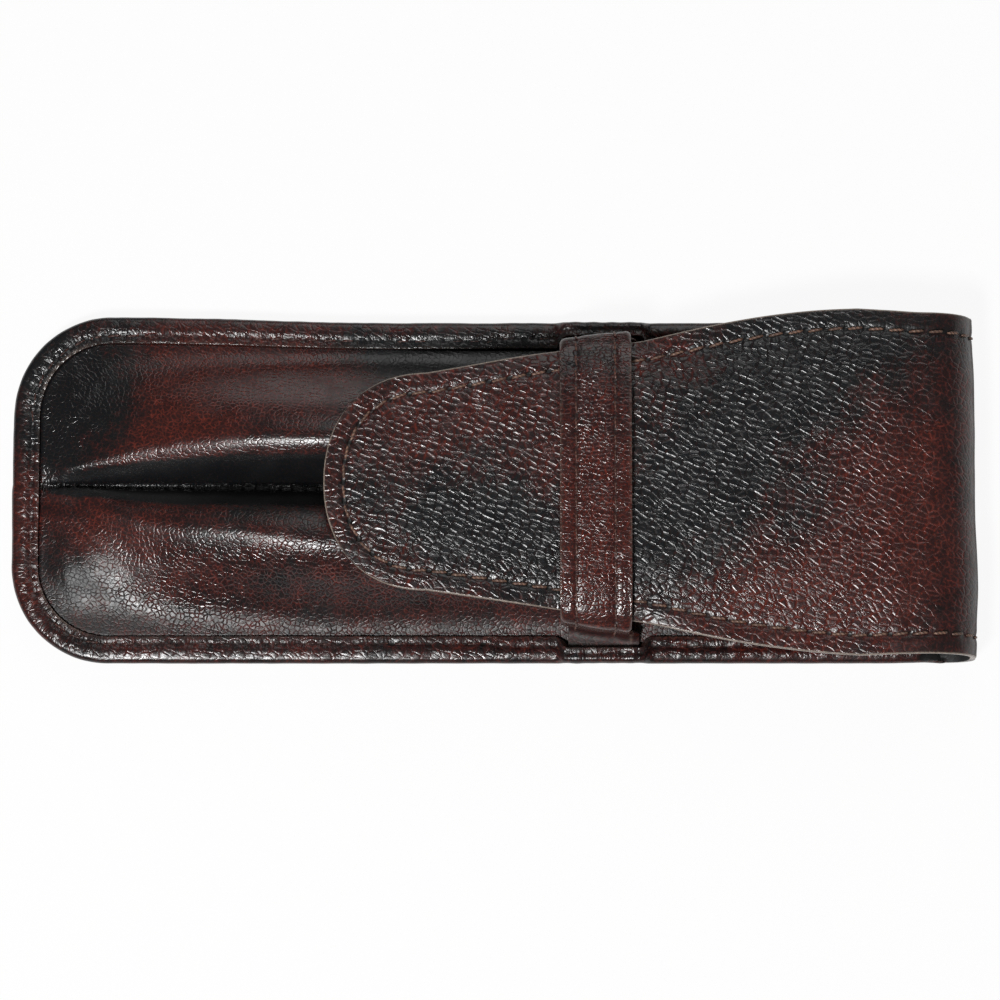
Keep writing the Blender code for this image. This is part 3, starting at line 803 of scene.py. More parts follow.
class Seam:
    """A row of stitches along a line on the leather. Needle holes lie at whole stitches."""

    def __init__(self, line, ups, pitch):
        length = lengths_along(line)[-1]
        count = max(1, round(length / pitch))
        at = np.linspace(0.0, length, steps_for(length, FINE_STEP) + 1)
        self.line = place_along(line, at)
        lengths = lengths_along(line)
        ups = np.column_stack([np.interp(at, lengths, axis) for axis in ups.T])
        self.ups = ups / np.linalg.norm(ups, axis=1)[:, None]
        self.count = count
        self.along = at * count / length
        self.pitch = length / count
        self.ahead = directions(self.line)
        self.tree = tree_of(self.line)

    def near(self, points):
        """For each point, how many stitches along the row it lies, and how far from the row."""
        nearest = np.array([self.tree.find(point)[1] for point in points])
        offset = points - self.line[nearest]
        ahead = np.einsum("ij,ij->i", offset, self.ahead[nearest])
        aside = offset - ahead[:, None] * self.ahead[nearest]
        return self.along[nearest] + ahead / self.pitch, np.linalg.norm(aside, axis=1)


def along_seams(points, seams):
    """The nearest row at each point, as stitches along it and the distance from it."""
    best_along = np.zeros(len(points))
    best_away = np.full(len(points), 1.0)
    for seam in seams:
        along, away = seam.near(points)
        nearer = away < best_away
        best_along[nearer] = along[nearer]
        best_away[nearer] = away[nearer]
    return best_along, best_away


def wave(points, size, seed, height, stretch=EVEN):
    """Soft waves over the points, of about this size and height."""
    scaled = points * (np.array(stretch) / size) + seed
    return np.array([noise.noise(Vector(point)) for point in scaled]) * height


def directions(line):
    """The direction of the line at each of its points."""
    ahead = np.gradient(line, axis=0)
    return ahead / np.linalg.norm(ahead, axis=1)[:, None]


def tree_of(points):
    """A search tree of the points."""
    tree = KDTree(len(points))
    for number, point in enumerate(points):
        tree.insert(point, number)
    tree.balance()
    return tree


def upwards(points):
    """Straight up, for each point."""
    return np.tile((0.0, 0.0, 1.0), (len(points), 1))


def ridge(value, height, middle, width):
    """A ridge of this height with its middle at this value, falling away over its width."""
    return height * bell(value - middle, width)


def terrace(value, height, low, high):
    """0 up to low and this height from high on, with soft ends."""
    return height * smooth(low, high, value)


def spot(x, y, middle_x, middle_y, reach_x, reach_y):
    """1 in the middle of a soft spot, falling away over its reach along x and along y."""
    return bell(x - middle_x, reach_x) * bell(y - middle_y, reach_y)


def drawn_in(along, away, draw, pucker):
    """The height of leather that a row of stitches draws in and puckers."""
    between_holes = np.sin(np.pi * along) ** 2
    groove = -draw * bell(away, GROOVE_REACH) * (1.0 - GROOVE_EASED * between_holes)
    swollen = pucker * bell(away - SWELLING_AWAY, SWELLING_REACH) * (between_holes - SWELLING_LEVEL)
    return groove + swollen


def stitches(name, seam, thickness, sink, material, keep=None):
    """The thread that shows on a row: one low arched stitch from each needle hole to the next."""
    bm = bmesh.new()
    twist = bm.verts.layers.float_vector.new("hide")
    half = thickness / 2
    reach = seam.pitch / 2 * STITCH_SHOWN
    for number in range(seam.count):
        middle = np.searchsorted(seam.along, number + 0.5)
        start = np.searchsorted(seam.along, number + STITCH_TRIM)
        end = min(np.searchsorted(seam.along, number + 1 - STITCH_TRIM), len(seam.line) - 1)
        if keep and not keep(seam.line[middle]):
            continue
        up = Vector(seam.ups[middle])
        ahead = Vector(seam.line[end] - seam.line[start]).normalized()
        aside = up.cross(ahead).normalized()
        slant = (aside * STITCH_SLANT + ahead).normalized()
        aside = up.cross(slant).normalized()
        centre = Vector(seam.line[middle])
        made = bmesh.ops.create_uvsphere(bm, u_segments=8, v_segments=8, radius=1.0)["verts"]
        for vertex in made:
            share = vertex.co.z
            body = (1 - abs(share) ** STITCH_BLUNTNESS) ** 0.5
            ring = math.hypot(vertex.co.x, vertex.co.y) or 1.0
            out_up, out_aside = vertex.co.x / ring * body, vertex.co.y / ring * body
            vertex[twist] = (share * reach, math.atan2(out_aside, out_up) * half, number)
            low = -sink - half * (STITCH_DROP + STITCH_END_DROP * share**4)
            vertex.co = (
                centre
                + slant * (share * reach)
                + up * (out_up * half * STITCH_FLATNESS + low + half * STITCH_LIFT)
                + aside * (out_aside * half)
            )
    mesh = bpy.data.meshes.new(name)
    bm.to_mesh(mesh)
    bm.free()
    mesh.shade_smooth()
    mesh.materials.append(material)
    made = add_object(name, mesh)
    return made


def closed_end_x(inset, y):
    """Where the rounded closed end lies at this y, on an outline drawn in by inset."""
    radius = CORNER_RADIUS - inset
    past_corner = np.maximum(0.0, np.abs(y) - (HALF_WIDTH - inset - radius))
    return CLOSED_X + inset + radius - np.sqrt(np.maximum(radius**2 - past_corner**2, 0.0))


def flap_half_width(x):
    """Half the flap's width at x, on its taper and past it."""
    share = np.clip((x - TIP_X - NOSE_LENGTH) / TAPER_LENGTH, 0.0, 1.0)
    belly = np.sin(np.pi * np.clip(share * 2 - 1, 0.0, 1.0)) ** BELLY_POWER
    shoulder = ridge(x, *FLAP_SHOULDER)
    return mix(NOSE_HALF_WIDTH, FLAP_HALF_WIDTH, share) + BELLY * belly + shoulder


def keeper_wall(x):
    """How far from the middle the keeper's side stands at x."""
    return flap_half_width(x) + KEEPER_OVER_FLAP


def droop(x, y):
    """How far the flap hangs below its ridge line past the pockets' crests, and is pressed down
    under the keeper."""
    level_from = flap_half_width(x) - LEVEL_BORDER
    past_level = np.abs(y) - level_from
    levelled = np.where(
        past_level < -LEVEL_BEND,
        np.abs(y),
        level_from - LEVEL_BEND * 0.5 * np.exp(-2 * np.maximum(past_level + LEVEL_BEND, 0) / LEVEL_BEND)
        - LEVEL_BEND * 0.5,
    )
    beside = np.maximum(0.0, np.abs(x - KEEPER_CENTRE) - (KEEPER_RIGHT - KEEPER_LEFT) / 2)
    off = mix(levelled, np.abs(y), bell(beside, LEVEL_REACH))
    past_share = np.maximum(0.0, off - CREST_OFFSET) / (FLAP_HALF_WIDTH - CREST_OFFSET)
    calmer = mix(TONGUE_DROOP_SHARE, 1.0, smooth(*DROOP_GROWS_X, x))
    hanging = FLAP_DROOP * rise((FLAP_START_X - x) / FLAP_DROOP_LENGTH) * calmer * past_share**2
    pressed = PRESS_DEPTH * bell(beside, PRESS_REACH) * past_share**4
    return hanging + pressed


def over_keeper(x):
    """1 where the turned margin lies over the keeper's tails, 0 away from them."""
    outside = np.abs(x - KEEPER_CENTRE - TAIL_SHIFT) - (KEEPER_RIGHT - KEEPER_LEFT) / 2
    return 1.0 - smooth(0.0, KEEPER_LIP_RAMP, outside - LAYER_GAP)


def tapered(points):
    """The points, moved so that the +Y edge lies further out at the closed end than at the mouth."""
    x, y = points[:, 0], points[:, 1]
    shift = mix(WIDER_END, WIDER_MIDDLE, smooth(*WIDER_ENDS_X, x))
    shift = shift * smooth(0.0, HALF_WIDTH, y) - LOWER_EDGE_OUT * smooth(0.0, -HALF_WIDTH, y)
    moved = points.copy()
    moved[:, 1] = y + shift * smooth(CREASE_X, WIDER_FROM_X, x)
    return moved


def fuller_side(points):
    """The points of the flap or the keeper, moved so that the +Y side swells out where the flap
    widens and where the keeper holds it. The ends of the keeper's tails stay."""
    x, y = points[:, 0], points[:, 1]
    flap_out = ridge(x, *FULLER_SIDE) * smooth(FLAP_START_X, FULLER_FROM_X, x)
    tongue_out = ridge(x, *FULLER_TONGUE) * smooth(FRONT_HALF_WIDTH, FULLER_TAIL_Y, y)
    moved = points.copy()
    moved[:, 1] = y + flap_out * smooth(*FULLER_SIDE_Y, y) + tongue_out * smooth(*FULLER_TONGUE_Y, y)
    return moved


def rim_stations():
    """Places along the pouch's edge, from the lower crease on -Y round to the crease on +Y: the
    centre of the corner's curve, or of the same curve moved along a side, and the angle from
    there to the edge."""
    corner_x = CLOSED_X + CORNER_RADIUS
    corner_y = HALF_WIDTH - CORNER_RADIUS
    past_mouth = np.linspace(CREASE_X, MOUTH_X, steps_for(CREASE_X - MOUTH_X) + 1)[:-1]
    side = np.linspace(MOUTH_X, corner_x, steps_for(MOUTH_X - corner_x, RIM_STEP) + 1)
    straight = np.concatenate((past_mouth, side))
    turn_steps = steps_for(QUARTER * CORNER_RADIUS, step=0.0004)
    turns = np.linspace(QUARTER, 2 * QUARTER, turn_steps + 1)[1:]
    end = np.linspace(-corner_y, corner_y, steps_for(2 * corner_y, RIM_STEP) + 1)[1:-1]
    half = [(x, -corner_y, -QUARTER) for x in straight]
    half += [(corner_x, -corner_y, -turn) for turn in turns]
    other = [(x, -y, -angle) for x, y, angle in reversed(half)]
    middle = [(corner_x, y, 2 * QUARTER) for y in end]
    return np.array(half + middle + other), len(past_mouth)


def rim_points(stations, inset, z):
    """Points on the rim, this far in from the edge."""
    reach = CORNER_RADIUS - inset
    x = stations[:, 0] + reach * np.cos(stations[:, 2])
    y = stations[:, 1] + reach * np.sin(stations[:, 2])
    return np.column_stack((x, y, np.broadcast_to(z, x.shape)))


def lip_inset(x):
    """How wide the turned margin is at x."""
    at_keeper = HALF_WIDTH - keeper_wall(KEEPER_RIGHT) - KEEPER_FOOT_RADIUS
    return mix(TURNED_WIDTH, at_keeper, over_keeper(x))


def turned_top(x):
    """The height of the turned margin at x."""
    return TURNED_TOP + TURNED_LIFT * over_keeper(x)


def margin_seams(sewing):
    """The rows through the turned margin: as they show on top, and underneath."""
    stations, skipped = rim_stations()
    skipped += ROW_SETBACK
    stations = stations[skipped:-skipped]
    x = stations[:, 0]
    narrow = np.minimum(sewing.margin_inset, lip_inset(x) * NARROW_ROW_SHARE)
    inset = np.where(x > 0, narrow, sewing.margin_inset)
    top = rim_points(stations, inset, turned_top(x))
    under = rim_points(stations, inset, 0.0)
    up = upwards(stations)
    return Seam(top, up, sewing.margin_pitch), Seam(under, -up, sewing.margin_pitch)


def flap_outline(inset):
    """The flap's flat outline, from its start on +Y round the nose to its start on -Y."""
    turns = np.linspace(-QUARTER, QUARTER, num=241)
    share = np.sin(turns)
    round_share = (1 - np.abs(share) ** NOSE_POWER) ** (1 / NOSE_POWER)
    nose_x = TIP_X + NOSE_LENGTH * (1 - round_share)
    nose = np.column_stack((nose_x, -share * flap_half_width(nose_x)))
    side_x = np.linspace(FLAP_START_X, TIP_X + NOSE_LENGTH, num=200)[:-1]
    side = np.column_stack((side_x, flap_half_width(side_x)))
    line = evenly(np.vstack((side, nose, side[::-1] * (1, -1))), step=0.0002)
    ahead = directions(line)
    return line + np.column_stack((-ahead[:, 1], ahead[:, 0])) * inset


def fold_profile(depth, upper):
    """The x and z of the leather round the fold, this deep in it: the part below the cut in the
    middle of the wall, or the part above it."""
    cut = [(FOLD_X - depth, WALL_CUT_Z)]
    if upper:
        radius = UPPER_CREASE_RADIUS - depth
        centre = (FLAP_START_X, FLAP_TOP - UPPER_CREASE_RADIUS)
        crease = arc(centre, radius, 0.0, QUARTER, steps=32)
        return evenly(np.vstack((cut, crease)), STEP)
    radius = LOWER_CREASE_RADIUS - depth
    crease = arc((CREASE_X, LOWER_CREASE_RADIUS), radius, -QUARTER, 0.0, steps=20)
    return evenly(np.vstack((crease, cut)), STEP)


def flap_seam(sewing, depth=0.0):
    """The row round the flap, from the lower crease on +Y to the lower crease on -Y. A depth
    gives the same row on the lining's side."""
    half = FLAP_HALF_WIDTH - sewing.flap_inset
    profile = np.vstack((fold_profile(depth, False), fold_profile(depth, True)[1:]))
    fold = np.column_stack((profile[:, 0], np.full(len(profile), half), profile[:, 1]))
    flat = flap_outline(sewing.flap_inset)
    flat = flat[flat[:, 0] < FLAP_START_X - WELD]
    flat = np.column_stack((flat, FLAP_TOP - depth - droop(flat[:, 0], flat[:, 1])))
    line = np.vstack((fold, flat, fold[::-1] * (1, -1, 1)))
    ahead = np.gradient(profile, axis=0)
    out = np.column_stack((ahead[:, 1], np.zeros(len(ahead)), -ahead[:, 0]))
    up = upwards(flat)
    ups = np.vstack((out / np.linalg.norm(out, axis=1)[:, None], up))
    ups = np.vstack((ups, ups[: len(out)][::-1]))
    return Seam(line, -ups if depth else ups, sewing.flap_pitch)


def keeper_half(x):
    """Half of the keeper's outer line at x, as y and z: its arch, its bend, and its foot and tail."""
    wall = keeper_wall(x)
    shoulder = wall - KEEPER_BEND
    top = FLAP_TOP + KEEPER_OVER_FLAP
    tilt = math.atan((droop(x, shoulder) - droop(x, shoulder - FINE_STEP)) / FINE_STEP)
    turned = math.sin(KEEPER_LAST_TILT)
    radius = (KEEPER_BEND - KEEPER_LAST_RADIUS * (1 - turned)) / (turned - math.sin(tilt))
    offs = np.linspace(0.0, shoulder, num=40)[:-1]
    arch = np.column_stack((offs, top - droop(x, offs)))
    centre_z = top - droop(x, shoulder) - radius * math.cos(tilt)
    centre = (shoulder - radius * math.sin(tilt), centre_z)
    first = arc(centre, radius, QUARTER - tilt, QUARTER - KEEPER_LAST_TILT, steps=9)
    centre = first[-1] - KEEPER_LAST_RADIUS * np.array((turned, math.cos(KEEPER_LAST_TILT)))
    last = arc(centre, KEEPER_LAST_RADIUS, QUARTER - KEEPER_LAST_TILT, 0.0, steps=6)
    bend = np.vstack((first, last[1:]))
    centre = (wall + KEEPER_FOOT_RADIUS, TAIL_TOP + KEEPER_FOOT_RADIUS)
    foot = arc(centre, KEEPER_FOOT_RADIUS, 2 * QUARTER, 3 * QUARTER, steps=8)
    return arch, bend, np.vstack((foot, [(FRONT_HALF_WIDTH, TAIL_TOP)]))


def both_sides(half):
    """A line from its middle out, with its mirror image before it."""
    return np.vstack((half[:0:-1] * (-1, 1), half))


def keeper_seams(sewing):
    """The two rows along the keeper, round its bends."""
    found = []
    for x in (KEEPER_LEFT + sewing.keeper_inset, KEEPER_RIGHT - sewing.keeper_inset):
        arch, bend, foot = keeper_half(x)
        half = np.vstack((arch, bend, foot[:1]))
        line = evenly(both_sides(half), FINE_STEP)
        ahead = np.gradient(line, axis=0)
        ups = np.column_stack((np.zeros(len(line)), -ahead[:, 1], ahead[:, 0]))
        found.append(Seam(np.column_stack((np.full(len(line), x), line)), ups, sewing.keeper_pitch))
    return found


def lower_crest(x):
    """How far from the middle the lower pocket's crest lies at x."""
    return np.interp(x, *np.array(LOWER_CREST).T[:2])


def front_points(along, side, across):
    """Points on the front's outer surface. along runs from the closed end (0) to the mouth (1).
    across runs over one pocket: 0 to 1 over the sewn margin, to 2 up the slope to the crest, and
    to 3 down the wall to the valley."""
    from_apex = along * (FRONT_LENGTH - FRONT_EDGE_INSET) - (TURNED_WIDTH - FRONT_EDGE_INSET)
    open_share = rise(from_apex / VALLEY_OPENING_LENGTH)
    crest = mix(CREST_OFFSET_AT_APEX, CREST_OFFSET, open_share)
    crest = np.where(side < 0, lower_crest(CLOSED_X + along * FRONT_LENGTH), crest)
    valley = mix(VALLEY_HALF_WIDTH_AT_APEX, VALLEY_HALF_WIDTH, open_share)
    turn = (3 - np.clip(across, 2, 3)) * QUARTER
    margin = mix(FRONT_HALF_WIDTH, POCKET_HALF_WIDTH, np.clip(across, 0, 1))
    slope = mix(POCKET_HALF_WIDTH, crest, np.clip(across - 1, 0, 1))
    wall = mix(valley, crest, 1 - np.cos(turn))
    off = np.where(across <= 1, margin, np.where(across <= 2, slope, wall))
    height_share = np.where(across <= 2, rise(across - 1) ** SLOPE_POWER, np.sin(turn))
    skew = VALLEY_SKEW * (1 - along) * np.maximum(0.0, 1 - off / POCKET_HALF_WIDTH)
    y = side * off + skew
    x = mix(closed_end_x(FRONT_EDGE_INSET, y), MOUTH_X, along)
    from_margin = x - closed_end_x(TURNED_WIDTH, y)
    swell_share = rise(from_margin / POCKET_RISE_LENGTH) ** RISE_POWER
    return np.column_stack((x, y, FRONT_TOP + POCKET_HEIGHT * swell_share * height_share))


def valley_seam(sewing):
    """The row along the floor of the valley."""
    along = np.linspace(*VALLEY_ROW_ALONG, num=400)
    sides = [front_points(along, side, np.full(len(along), 3.0)) for side in (-1, 1)]
    up = upwards(along)
    return Seam((sides[0] + sides[1]) / 2, up, sewing.valley_pitch)


def add_node(tree, kind, inputs=None, **settings):
    """A node with its settings, and with its inputs set to values or linked to sockets."""
    made = tree.nodes.new(kind)
    for name, value in settings.items():
        setattr(made, name, value)
    for socket, value in (inputs or {}).items():
        if isinstance(value, bpy.types.NodeSocket):
            tree.links.new(value, made.inputs[socket])
        else:
            made.inputs[socket].default_value = value
    return made


def reckon(tree, operation, *values):
    """The result of a Math node on numbers or sockets."""
    inputs = dict(enumerate(values))
    return add_node(tree, "ShaderNodeMath", inputs, operation=operation).outputs[0]


def ramp(tree, value, low, high, start=0.0, end=1.0):
    """A value carried smoothly from one range to another."""
    inputs = {"Value": value, "From Min": low, "From Max": high, "To Min": start, "To Max": end}
    kind = "SMOOTHSTEP"
    return add_node(tree, "ShaderNodeMapRange", inputs, interpolation_type=kind).outputs[0]


def blend_colours(tree, share, first, second):
    """One colour mixed into another by a share."""
    inputs = {0: share, 6: first, 7: second}
    return add_node(tree, "ShaderNodeMix", inputs, data_type="RGBA").outputs[2]


def speckle(tree, place, size, detail=2.0, seed=0.0):
    """Soft noise from 0 to 1 with spots of about this size, in metres."""
    shifted = add_node(tree, "ShaderNodeVectorMath", {0: place, 1: (seed, seed, seed)}).outputs[0]
    inputs = {"Vector": shifted, "Axis": NOISE_AXIS, "Angle": NOISE_ANGLE}
    slanted = add_node(tree, "ShaderNodeVectorRotate", inputs).outputs[0]
    inputs = {"Vector": slanted, "Scale": 1.0 / size, "Detail": detail}
    return add_node(tree, "ShaderNodeTexNoise", inputs).outputs[0]


def attribute(tree, name, output="Fac"):
    """What the mesh stores under this name."""
    return add_node(tree, "ShaderNodeAttribute", attribute_name=name).outputs[output]


def open_group(name, inputs, outputs):
    """A node group with these named sockets, and its two end nodes. An input is given with its
    default value."""
    group = bpy.data.node_groups.new(name, "ShaderNodeTree")
    kinds = {float: "NodeSocketFloat", tuple: "NodeSocketVector", list: "NodeSocketColor"}
    for word, value in inputs.items():
        socket = group.interface.new_socket(word, in_out="INPUT", socket_type=kinds[type(value)])
        socket.default_value = value
    for word, value in outputs.items():
        group.interface.new_socket(word, in_out="OUTPUT", socket_type=kinds[type(value)])
    source = group.nodes.new("NodeGroupInput")
    return group, source.outputs, group.nodes.new("NodeGroupOutput")


def rough_noise(tree, place, scale, detail):
    """Noise at a place that is already measured in cells or stitches, as a value and a colour."""
    inputs = {"Vector": place, "Scale": scale, "Detail": detail}
    return add_node(tree, "ShaderNodeTexNoise", inputs).outputs


def on_vectors(tree, operation, *values):
    """The result of a Vector Math node on vectors or sockets."""
    inputs = dict(enumerate(values))
    return add_node(tree, "ShaderNodeVectorMath", inputs, operation=operation).outputs[0]


def cobbles(tree, cells, shoulder):
    """How far from the nearest valley each place lies, as a share of a cell and as a share of a
    pebble's shoulder."""
    edge = add_node(
        tree,
        "ShaderNodeTexVoronoi",
        {"Vector": cells, "Scale": 1.0, "Randomness": CELL_RANDOMNESS},
        voronoi_dimensions="2D",
        feature="DISTANCE_TO_EDGE",
    ).outputs["Distance"]
    return edge, reckon(tree, "MINIMUM", reckon(tree, "DIVIDE", edge, shoulder), 1.0)


def domed(tree, share, power):
    """A pebble's height: steep beside its valley and level in its middle."""
    return reckon(tree, "POWER", reckon(tree, "SUBTRACT", 1.0, share), power)


def pebble_group():
    """Pebbled grain: domed cells with sharp valleys, finer creases over them, and a fine tooth."""
    group, given, result = open_group(
        "Pebble grain",
        {"Place": (0.0, 0.0, 0.0), "Cell": 0.0014, "Stretch": 1.25, "Turn": 0.4, "Seed": 0.0},
        {"Top": 0.0, "Stain": 0.0, "Fine": 0.0},
    )
    inputs = {"Vector": given["Place"], "Angle": given["Turn"]}
    turned = add_node(group, "ShaderNodeVectorRotate", inputs, rotation_type="Z_AXIS").outputs[0]
    along = reckon(group, "MULTIPLY", given["Cell"], given["Stretch"])
    size = add_node(group, "ShaderNodeCombineXYZ", {0: along, 1: given["Cell"], 2: 1.0}).outputs[0]
    cells = on_vectors(group, "DIVIDE", turned, size)
    shifted = on_vectors(group, "ADD", cells, given["Seed"])
    bend = rough_noise(group, shifted, 0.30, 2.0)[1]
    centred = on_vectors(group, "SUBTRACT", bend, (0.5, 0.5, 0.5))
    pushed = on_vectors(group, "MULTIPLY_ADD", centred, CELL_BEND, shifted)
    smaller = on_vectors(group, "MULTIPLY", pushed, CREASE_CELLS)
    edge, shoulder = cobbles(group, pushed, PEBBLE_SHOULDER)
    low = domed(group, shoulder, PEBBLE_POWER)
    crease = domed(group, cobbles(group, smaller, CREASE_SHOULDER)[1], CREASE_POWER)
    drift = rough_noise(group, shifted, 0.7, 2.0)[0]
    strength = ramp(group, drift, low=0.32, high=0.64, start=0.40, end=1.0)
    creased = ramp(group, drift, low=0.62, high=0.38, start=0.03, end=0.20)
    valley = reckon(group, "MULTIPLY", low, strength)
    valley = reckon(group, "MULTIPLY_ADD", crease, creased, valley)
    group.links.new(reckon(group, "SUBTRACT", 1.0, valley), result.inputs["Top"])
    stain = reckon(group, "MULTIPLY", ramp(group, edge, low=0.24, high=0.0), strength)
    group.links.new(stain, result.inputs["Stain"])
    fine = rough_noise(group, given["Place"], 4500.0, 3.0)[0]
    group.links.new(fine, result.inputs["Fine"])
    return group


def antique_group():
    """Two-tone antiquing: red in the valleys, black rubbed on the tops, in drifting patches."""
    group, given, result = open_group(
        "Antique colour",
        {"Place": (0.0, 0.0, 0.0), "Red": 0.4, "Stain": 0.0, **dict.fromkeys(TONES, opaque(BLACK))},
        {"Colour": opaque(BLACK)},
    )
    drift = speckle(group, given["Place"], size=0.0075, detail=3.0)
    spots = speckle(group, given["Place"], size=0.0010, detail=2.0, seed=0.3)
    flecks = speckle(group, given["Place"], size=0.00042, detail=2.0, seed=0.9)
    red = reckon(group, "MULTIPLY_ADD", drift, DRIFT_SHARE, given["Red"])
    red = reckon(group, "MULTIPLY_ADD", spots, SPOTS_SHARE, red)
    red = ramp(group, red, low=0.75, high=1.70)
    rubbed = reckon(group, "MULTIPLY_ADD", spots, *STAIN_RUBBED)
    stain = reckon(group, "MULTIPLY", given["Stain"], rubbed)
    stain = reckon(group, "MULTIPLY_ADD", ramp(group, flecks, low=0.50, high=0.72), FLECK_SHARE, stain)
    valley = reckon(group, "MINIMUM", stain, 1.0)
    tops = blend_colours(group, red, given["Black top"], given["Red top"])
    valleys = blend_colours(group, red, given["Black valley"], given["Red valley"])
    group.links.new(blend_colours(group, valley, tops, valleys), result.inputs["Colour"])
    return group


def sewn_group():
    """Leather beside a seam: its needle holes, from 0 on the leather to 1 in a hole, and the fine
    puckers that cross it. The seam's vector holds the stitches along it, the distance from it and
    the length of a stitch."""
    group, given, result = open_group(
        "Sewn leather",
        {"Seam": (0.0, 0.0, 0.0), "Radius": 0.00032, "Wrinkle": 0.0005, "Reach": 0.0022},
        {"Hole": 0.0, "Pucker": 0.0},
    )
    parts = add_node(group, "ShaderNodeSeparateXYZ", {0: given["Seam"]}).outputs
    beside = reckon(group, "FRACT", reckon(group, "ADD", parts[0], 0.5))
    beside = reckon(group, "MULTIPLY", reckon(group, "SUBTRACT", beside, 0.5), parts[2])
    beside = reckon(group, "MULTIPLY", beside, HOLE_LENGTHENED)
    squared = reckon(group, "MULTIPLY", beside, beside)
    away = reckon(group, "SQRT", reckon(group, "MULTIPLY_ADD", parts[1], parts[1], squared))
    ragged = rough_noise(group, given["Seam"], 2.3, 1.0)[0]
    share = reckon(group, "DIVIDE", away, given["Radius"])
    share = reckon(group, "MULTIPLY", share, reckon(group, "ADD", ragged, HOLE_RAGGED))
    group.links.new(ramp(group, share, low=1.3, high=0.6), result.inputs["Hole"])
    along = reckon(group, "MULTIPLY", parts[0], parts[2])
    along = reckon(group, "DIVIDE", along, given["Wrinkle"])
    across = reckon(group, "DIVIDE", parts[1], given["Reach"])
    place = add_node(group, "ShaderNodeCombineXYZ", {0: along, 1: across}).outputs[0]
    folds = rough_noise(group, place, 1.0, 2.0)[0]
    near = ramp(group, across, low=1.0, high=0.4)
    pucker = reckon(group, "MULTIPLY", folds, near)
    group.links.new(pucker, result.inputs["Pucker"])
    return group


def use_group(tree, name, make, inputs):
    """The outputs of the node group of this name, placed in a material. The group is made the
    first time that it is asked for."""
    group = bpy.data.node_groups.get(name) or make()
    return add_node(tree, "ShaderNodeGroup", inputs, node_tree=group).outputs


def new_material(name):
    """An empty material, as its node tree and its shader."""
    material = bpy.data.materials.new(name)
    material.use_nodes = True
    tree = material.node_tree
    return material, tree, tree.nodes["Principled BSDF"]


def opaque(colour):
    """A colour with its fourth value."""
    return [*colour, 1.0]



def shaded(colour, share):
    """A colour made darker or paler, with its fourth value."""
    return opaque(min(1.0, value * share) for value in colour)


def finish_shader(tree, shader, colour, roughness, height):
    """Gives the shader its colour, its roughness, and the height by which its surface is raised."""
    bump = add_node(tree, "ShaderNodeBump", {"Height": height, "Distance": 1.0, "Strength": 1.0})
    tree.links.new(colour, shader.inputs["Base Color"])
    tree.links.new(roughness, shader.inputs["Roughness"])
    tree.links.new(bump.outputs[0], shader.inputs["Normal"])


def leather_material(name, leather, cell, depth, stretch, turn, seed):
    """Glossy pebbled leather in two tones, which reads its place on the hide from the mesh."""
    material, tree, shader = new_material(name)
    place = attribute(tree, "hide", "Vector")
    grain = use_group(
        tree,
        "Pebble grain",
        pebble_group,
        {"Place": place, "Cell": cell, "Stretch": stretch, "Turn": turn, "Seed": seed},
    )
    strength = attribute(tree, "grain")
    low = reckon(tree, "SUBTRACT", 1.0, grain["Top"])
    top = reckon(tree, "SUBTRACT", 1.0, reckon(tree, "MULTIPLY", low, strength))
    red = attribute(tree, "red")
    stained = ramp(tree, strength, low=0.0, high=0.8, start=0.3, end=1.0)
    colour = use_group(
        tree,
        "Antique colour",
        antique_group,
        {
            "Place": place,
            "Red": red,
            "Stain": reckon(tree, "MULTIPLY", grain["Stain"], stained),
            **{name: opaque(getattr(leather, tone)) for name, tone in TONES.items()},
        },
    )["Colour"]
    # Paled leather where the mesh asks for it: real wear on the margins, and painted highlights along
    # cut edges
    rubbed = speckle(tree, place, size=0.0006, detail=3.0, seed=0.7)
    wear_and_painted_highlight = reckon(tree, "MULTIPLY", attribute(tree, "wear_and_painted_highlight"), ramp(tree, rubbed, *MIDDLE_TONES))
    colour = blend_colours(tree, wear_and_painted_highlight, colour, opaque(leather.wear_and_painted_highlight))
    sewn = use_group(
        tree,
        "Sewn leather",
        sewn_group,
        {"Seam": attribute(tree, "seam", "Vector"), "Radius": HOLE_RADIUS},
    )
    hole = reckon(tree, "MULTIPLY", sewn["Hole"], attribute(tree, "holed"))
    # Needle holes are painted near black, as the shade inside them
    colour = blend_colours(tree, hole, colour, opaque(HOLE_PAINTED_SHADE))
    smudge = speckle(tree, place, size=0.004, detail=3.0, seed=1.1)
    least, most = leather.roughness - SMUDGE_GLOSSIER, leather.roughness + SMUDGE_DULLER
    rough = ramp(tree, smudge, *SMUDGE_RANGE, least, most)
    rough = reckon(tree, "MULTIPLY_ADD", attribute(tree, "dull"), DULL_ROUGHNESS, rough)
    rough = reckon(tree, "MULTIPLY_ADD", hole, HOLE_ROUGHNESS, rough)
    heights = reckon(tree, "MULTIPLY", top, depth)
    heights = reckon(tree, "MULTIPLY_ADD", grain["Fine"], depth * TOOTH_SHARE, heights)
    heights = reckon(tree, "MULTIPLY", heights, reckon(tree, "SUBTRACT", 1.0, hole))
    heights = reckon(tree, "MULTIPLY_ADD", hole, -HOLE_DEPTH, heights)
    drawn = reckon(tree, "MULTIPLY", sewn["Pucker"], attribute(tree, "drawn"))
    heights = reckon(tree, "MULTIPLY_ADD", drawn, PUCKER_HEIGHT, heights)
    finish_shader(tree, shader, colour, rough, heights)
    return material


